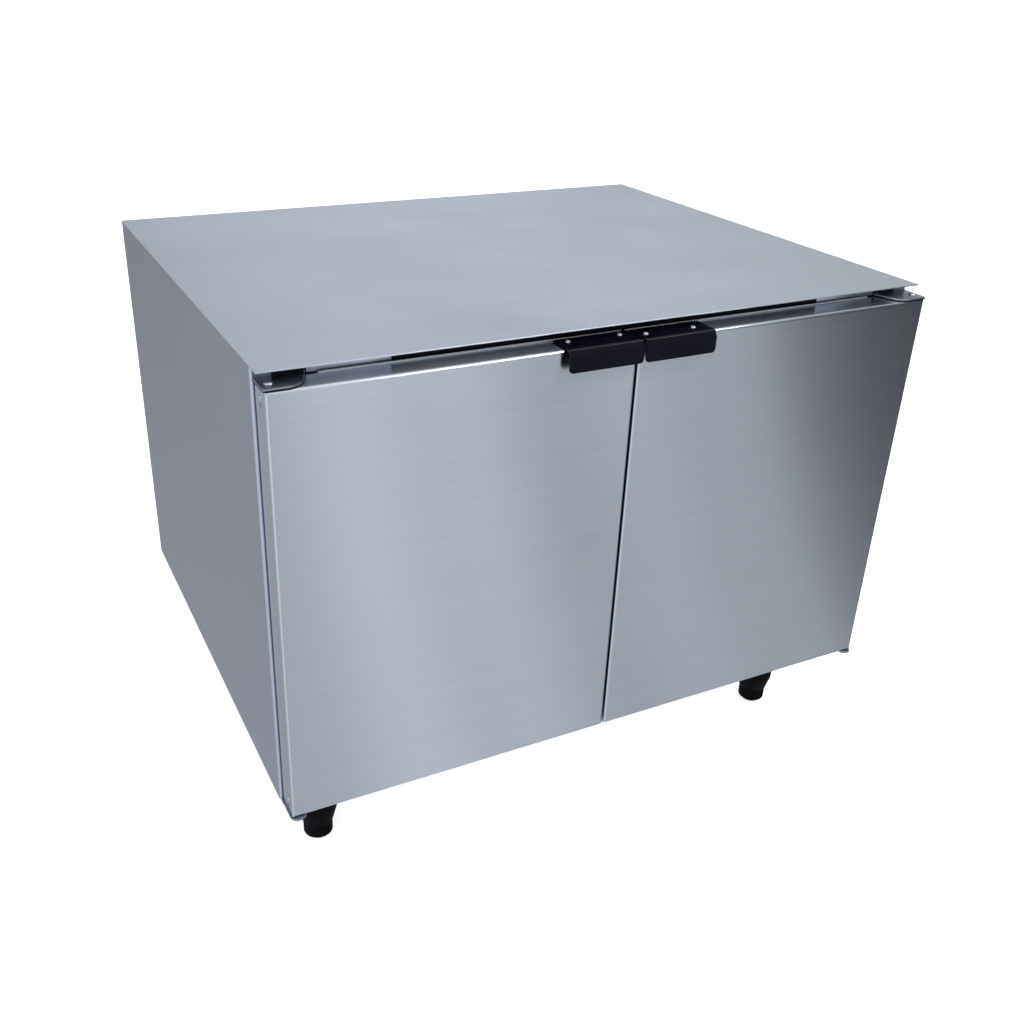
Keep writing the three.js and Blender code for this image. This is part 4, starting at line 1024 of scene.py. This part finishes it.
def make_control():
    node = "temperature_control"
    eased(node, "white_plastic", 2.0, segments=4)
    axis = JOINT_AT["temperature_knob_turn"]
    low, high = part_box(node)
    face = high.y - 45.7 * MM
    dial = bmesh.new()
    for step in range(11):
        angle = math.radians(225 - 27 * step)
        middle = Vector((axis.x + 25 * MM * math.cos(angle), face, axis.z + 25 * MM * math.sin(angle)))
        add_lathe(dial, [(0, -0.2), (1.1, -0.2), (1.1, 0.25), (0, 0.25)], middle, (0, -1, 0), 16)
    add_piece("control_dial_marks", dial, "black_plastic", body="cabinet")
    screws = bmesh.new()
    for z in (low.z + 8 * MM, high.z - 8 * MM):
        for x in (low.x + 8 * MM, high.x - 8 * MM):
            add_screw(screws, (x, face, z), (0, -1, 0), 3 * MM, 1.4 * MM)
    add_piece("control_screws", screws, "bright_steel", body="cabinet")


def make_knob():
    node = "temperature_knob"
    axis = JOINT_AT["temperature_knob_turn"]
    front = Vector((axis.x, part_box(node)[0].y, axis.z))
    bm = bmesh.new()
    ribs, segments = 24, 96
    outline = [
        (0, 5), (13.5, 5), (15.2, 5.5), (17, 7.2), (17.6, 9), (19, 20.8), (18.6, 22), (4, 22), (4, 14),
        (0, 14),
    ]
    rings = []
    for radius, depth in outline:
        ring = []
        for step in range(segments if radius else 1):
            angle = step * math.tau / segments
            rib = 0.5 * math.cos(ribs * angle) if 17.5 < radius < 19 else 0
            local = Vector(((radius + rib) * math.cos(angle), depth, (radius + rib) * math.sin(angle))) * MM
            ring.append(bm.verts.new(front + local))
        rings.append(ring)
    join_rings(bm, rings)
    add_bar(bm, front - Vector((2.5, 0, 16)) * MM, front + Vector((2.5, 8, 16)) * MM, 0.9)
    add_piece("temperature_knob_moulded", bm, "black_plastic", (node,))
    pointer = bmesh.new()
    add_bar(pointer, front + Vector((-0.6, -0.1, 4)) * MM, front + Vector((0.6, 1, 15)) * MM, 0.1)
    add_piece("temperature_knob_pointer", pointer, "white_plastic", body="knob")


def make_electrics():
    eased("electrical_box", "zinc", 0.5)
    low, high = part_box("electrical_box")
    screws = bmesh.new()
    for z in (low.z + 12 * MM, high.z - 12 * MM):
        add_screw(screws, (low.x + 12 * MM, high.y, z), (0, 1, 0), 3 * MM, 1.6 * MM)
        add_screw(screws, (high.x - 12 * MM, high.y, z), (0, 1, 0), 3 * MM, 1.6 * MM, 50)
    add_piece("electrical_box_screws", screws, "bright_steel", body="cabinet")

    eased("power_inlet", "black_plastic", 0.4)
    middle = middle_of("power_inlet")
    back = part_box("power_inlet")[0].y
    pins = bmesh.new()
    for x, z in ((-7, -2), (7, -2), (0, 3)):
        place = Vector((middle.x + x * MM, back + 8 * MM, middle.z + z * MM))
        half = Vector((1 * MM, 0, 2 * MM))
        add_bar(pins, place - half, place + half + Vector((0, 17 * MM, 0)), 0.3)
    add_piece("power_inlet_pins", pins, "brass", body="cabinet")


def make_cooling():
    eased("evaporator_cover", "liner", 0.3)
    make_coil("evaporator_coil", 3.6 * MM)
    make_evaporator_motor()
    make_fan("evaporator_fan_blade", 56, 14, 11, "black_plastic")
    make_fan_guard()
    make_drain()
    make_control()
    make_knob()
    eased("condensing_unit_base", "zinc", 0.3)
    make_compressor()
    make_coil("condenser_coil", 2.8 * MM)
    eased("condenser_fan_shroud", "zinc", 0.3)
    make_fan("condenser_fan_blade", 95, 20, 14, "aluminium")
    make_condenser_motor()
    make_refrigerant_lines()
    make_electrics()
    eased("condensate_tray", "black_plastic", 0.6)


make_cabinet()
make_header()
make_back_screws()
for side in SIDES:
    make_door(side)
    make_hinges(side)
    make_shelf(side)
eased("centre_shelf_rail", "frame_steel", 0.3)
for corner in CORNERS:
    make_leg(corner)
make_cooling()
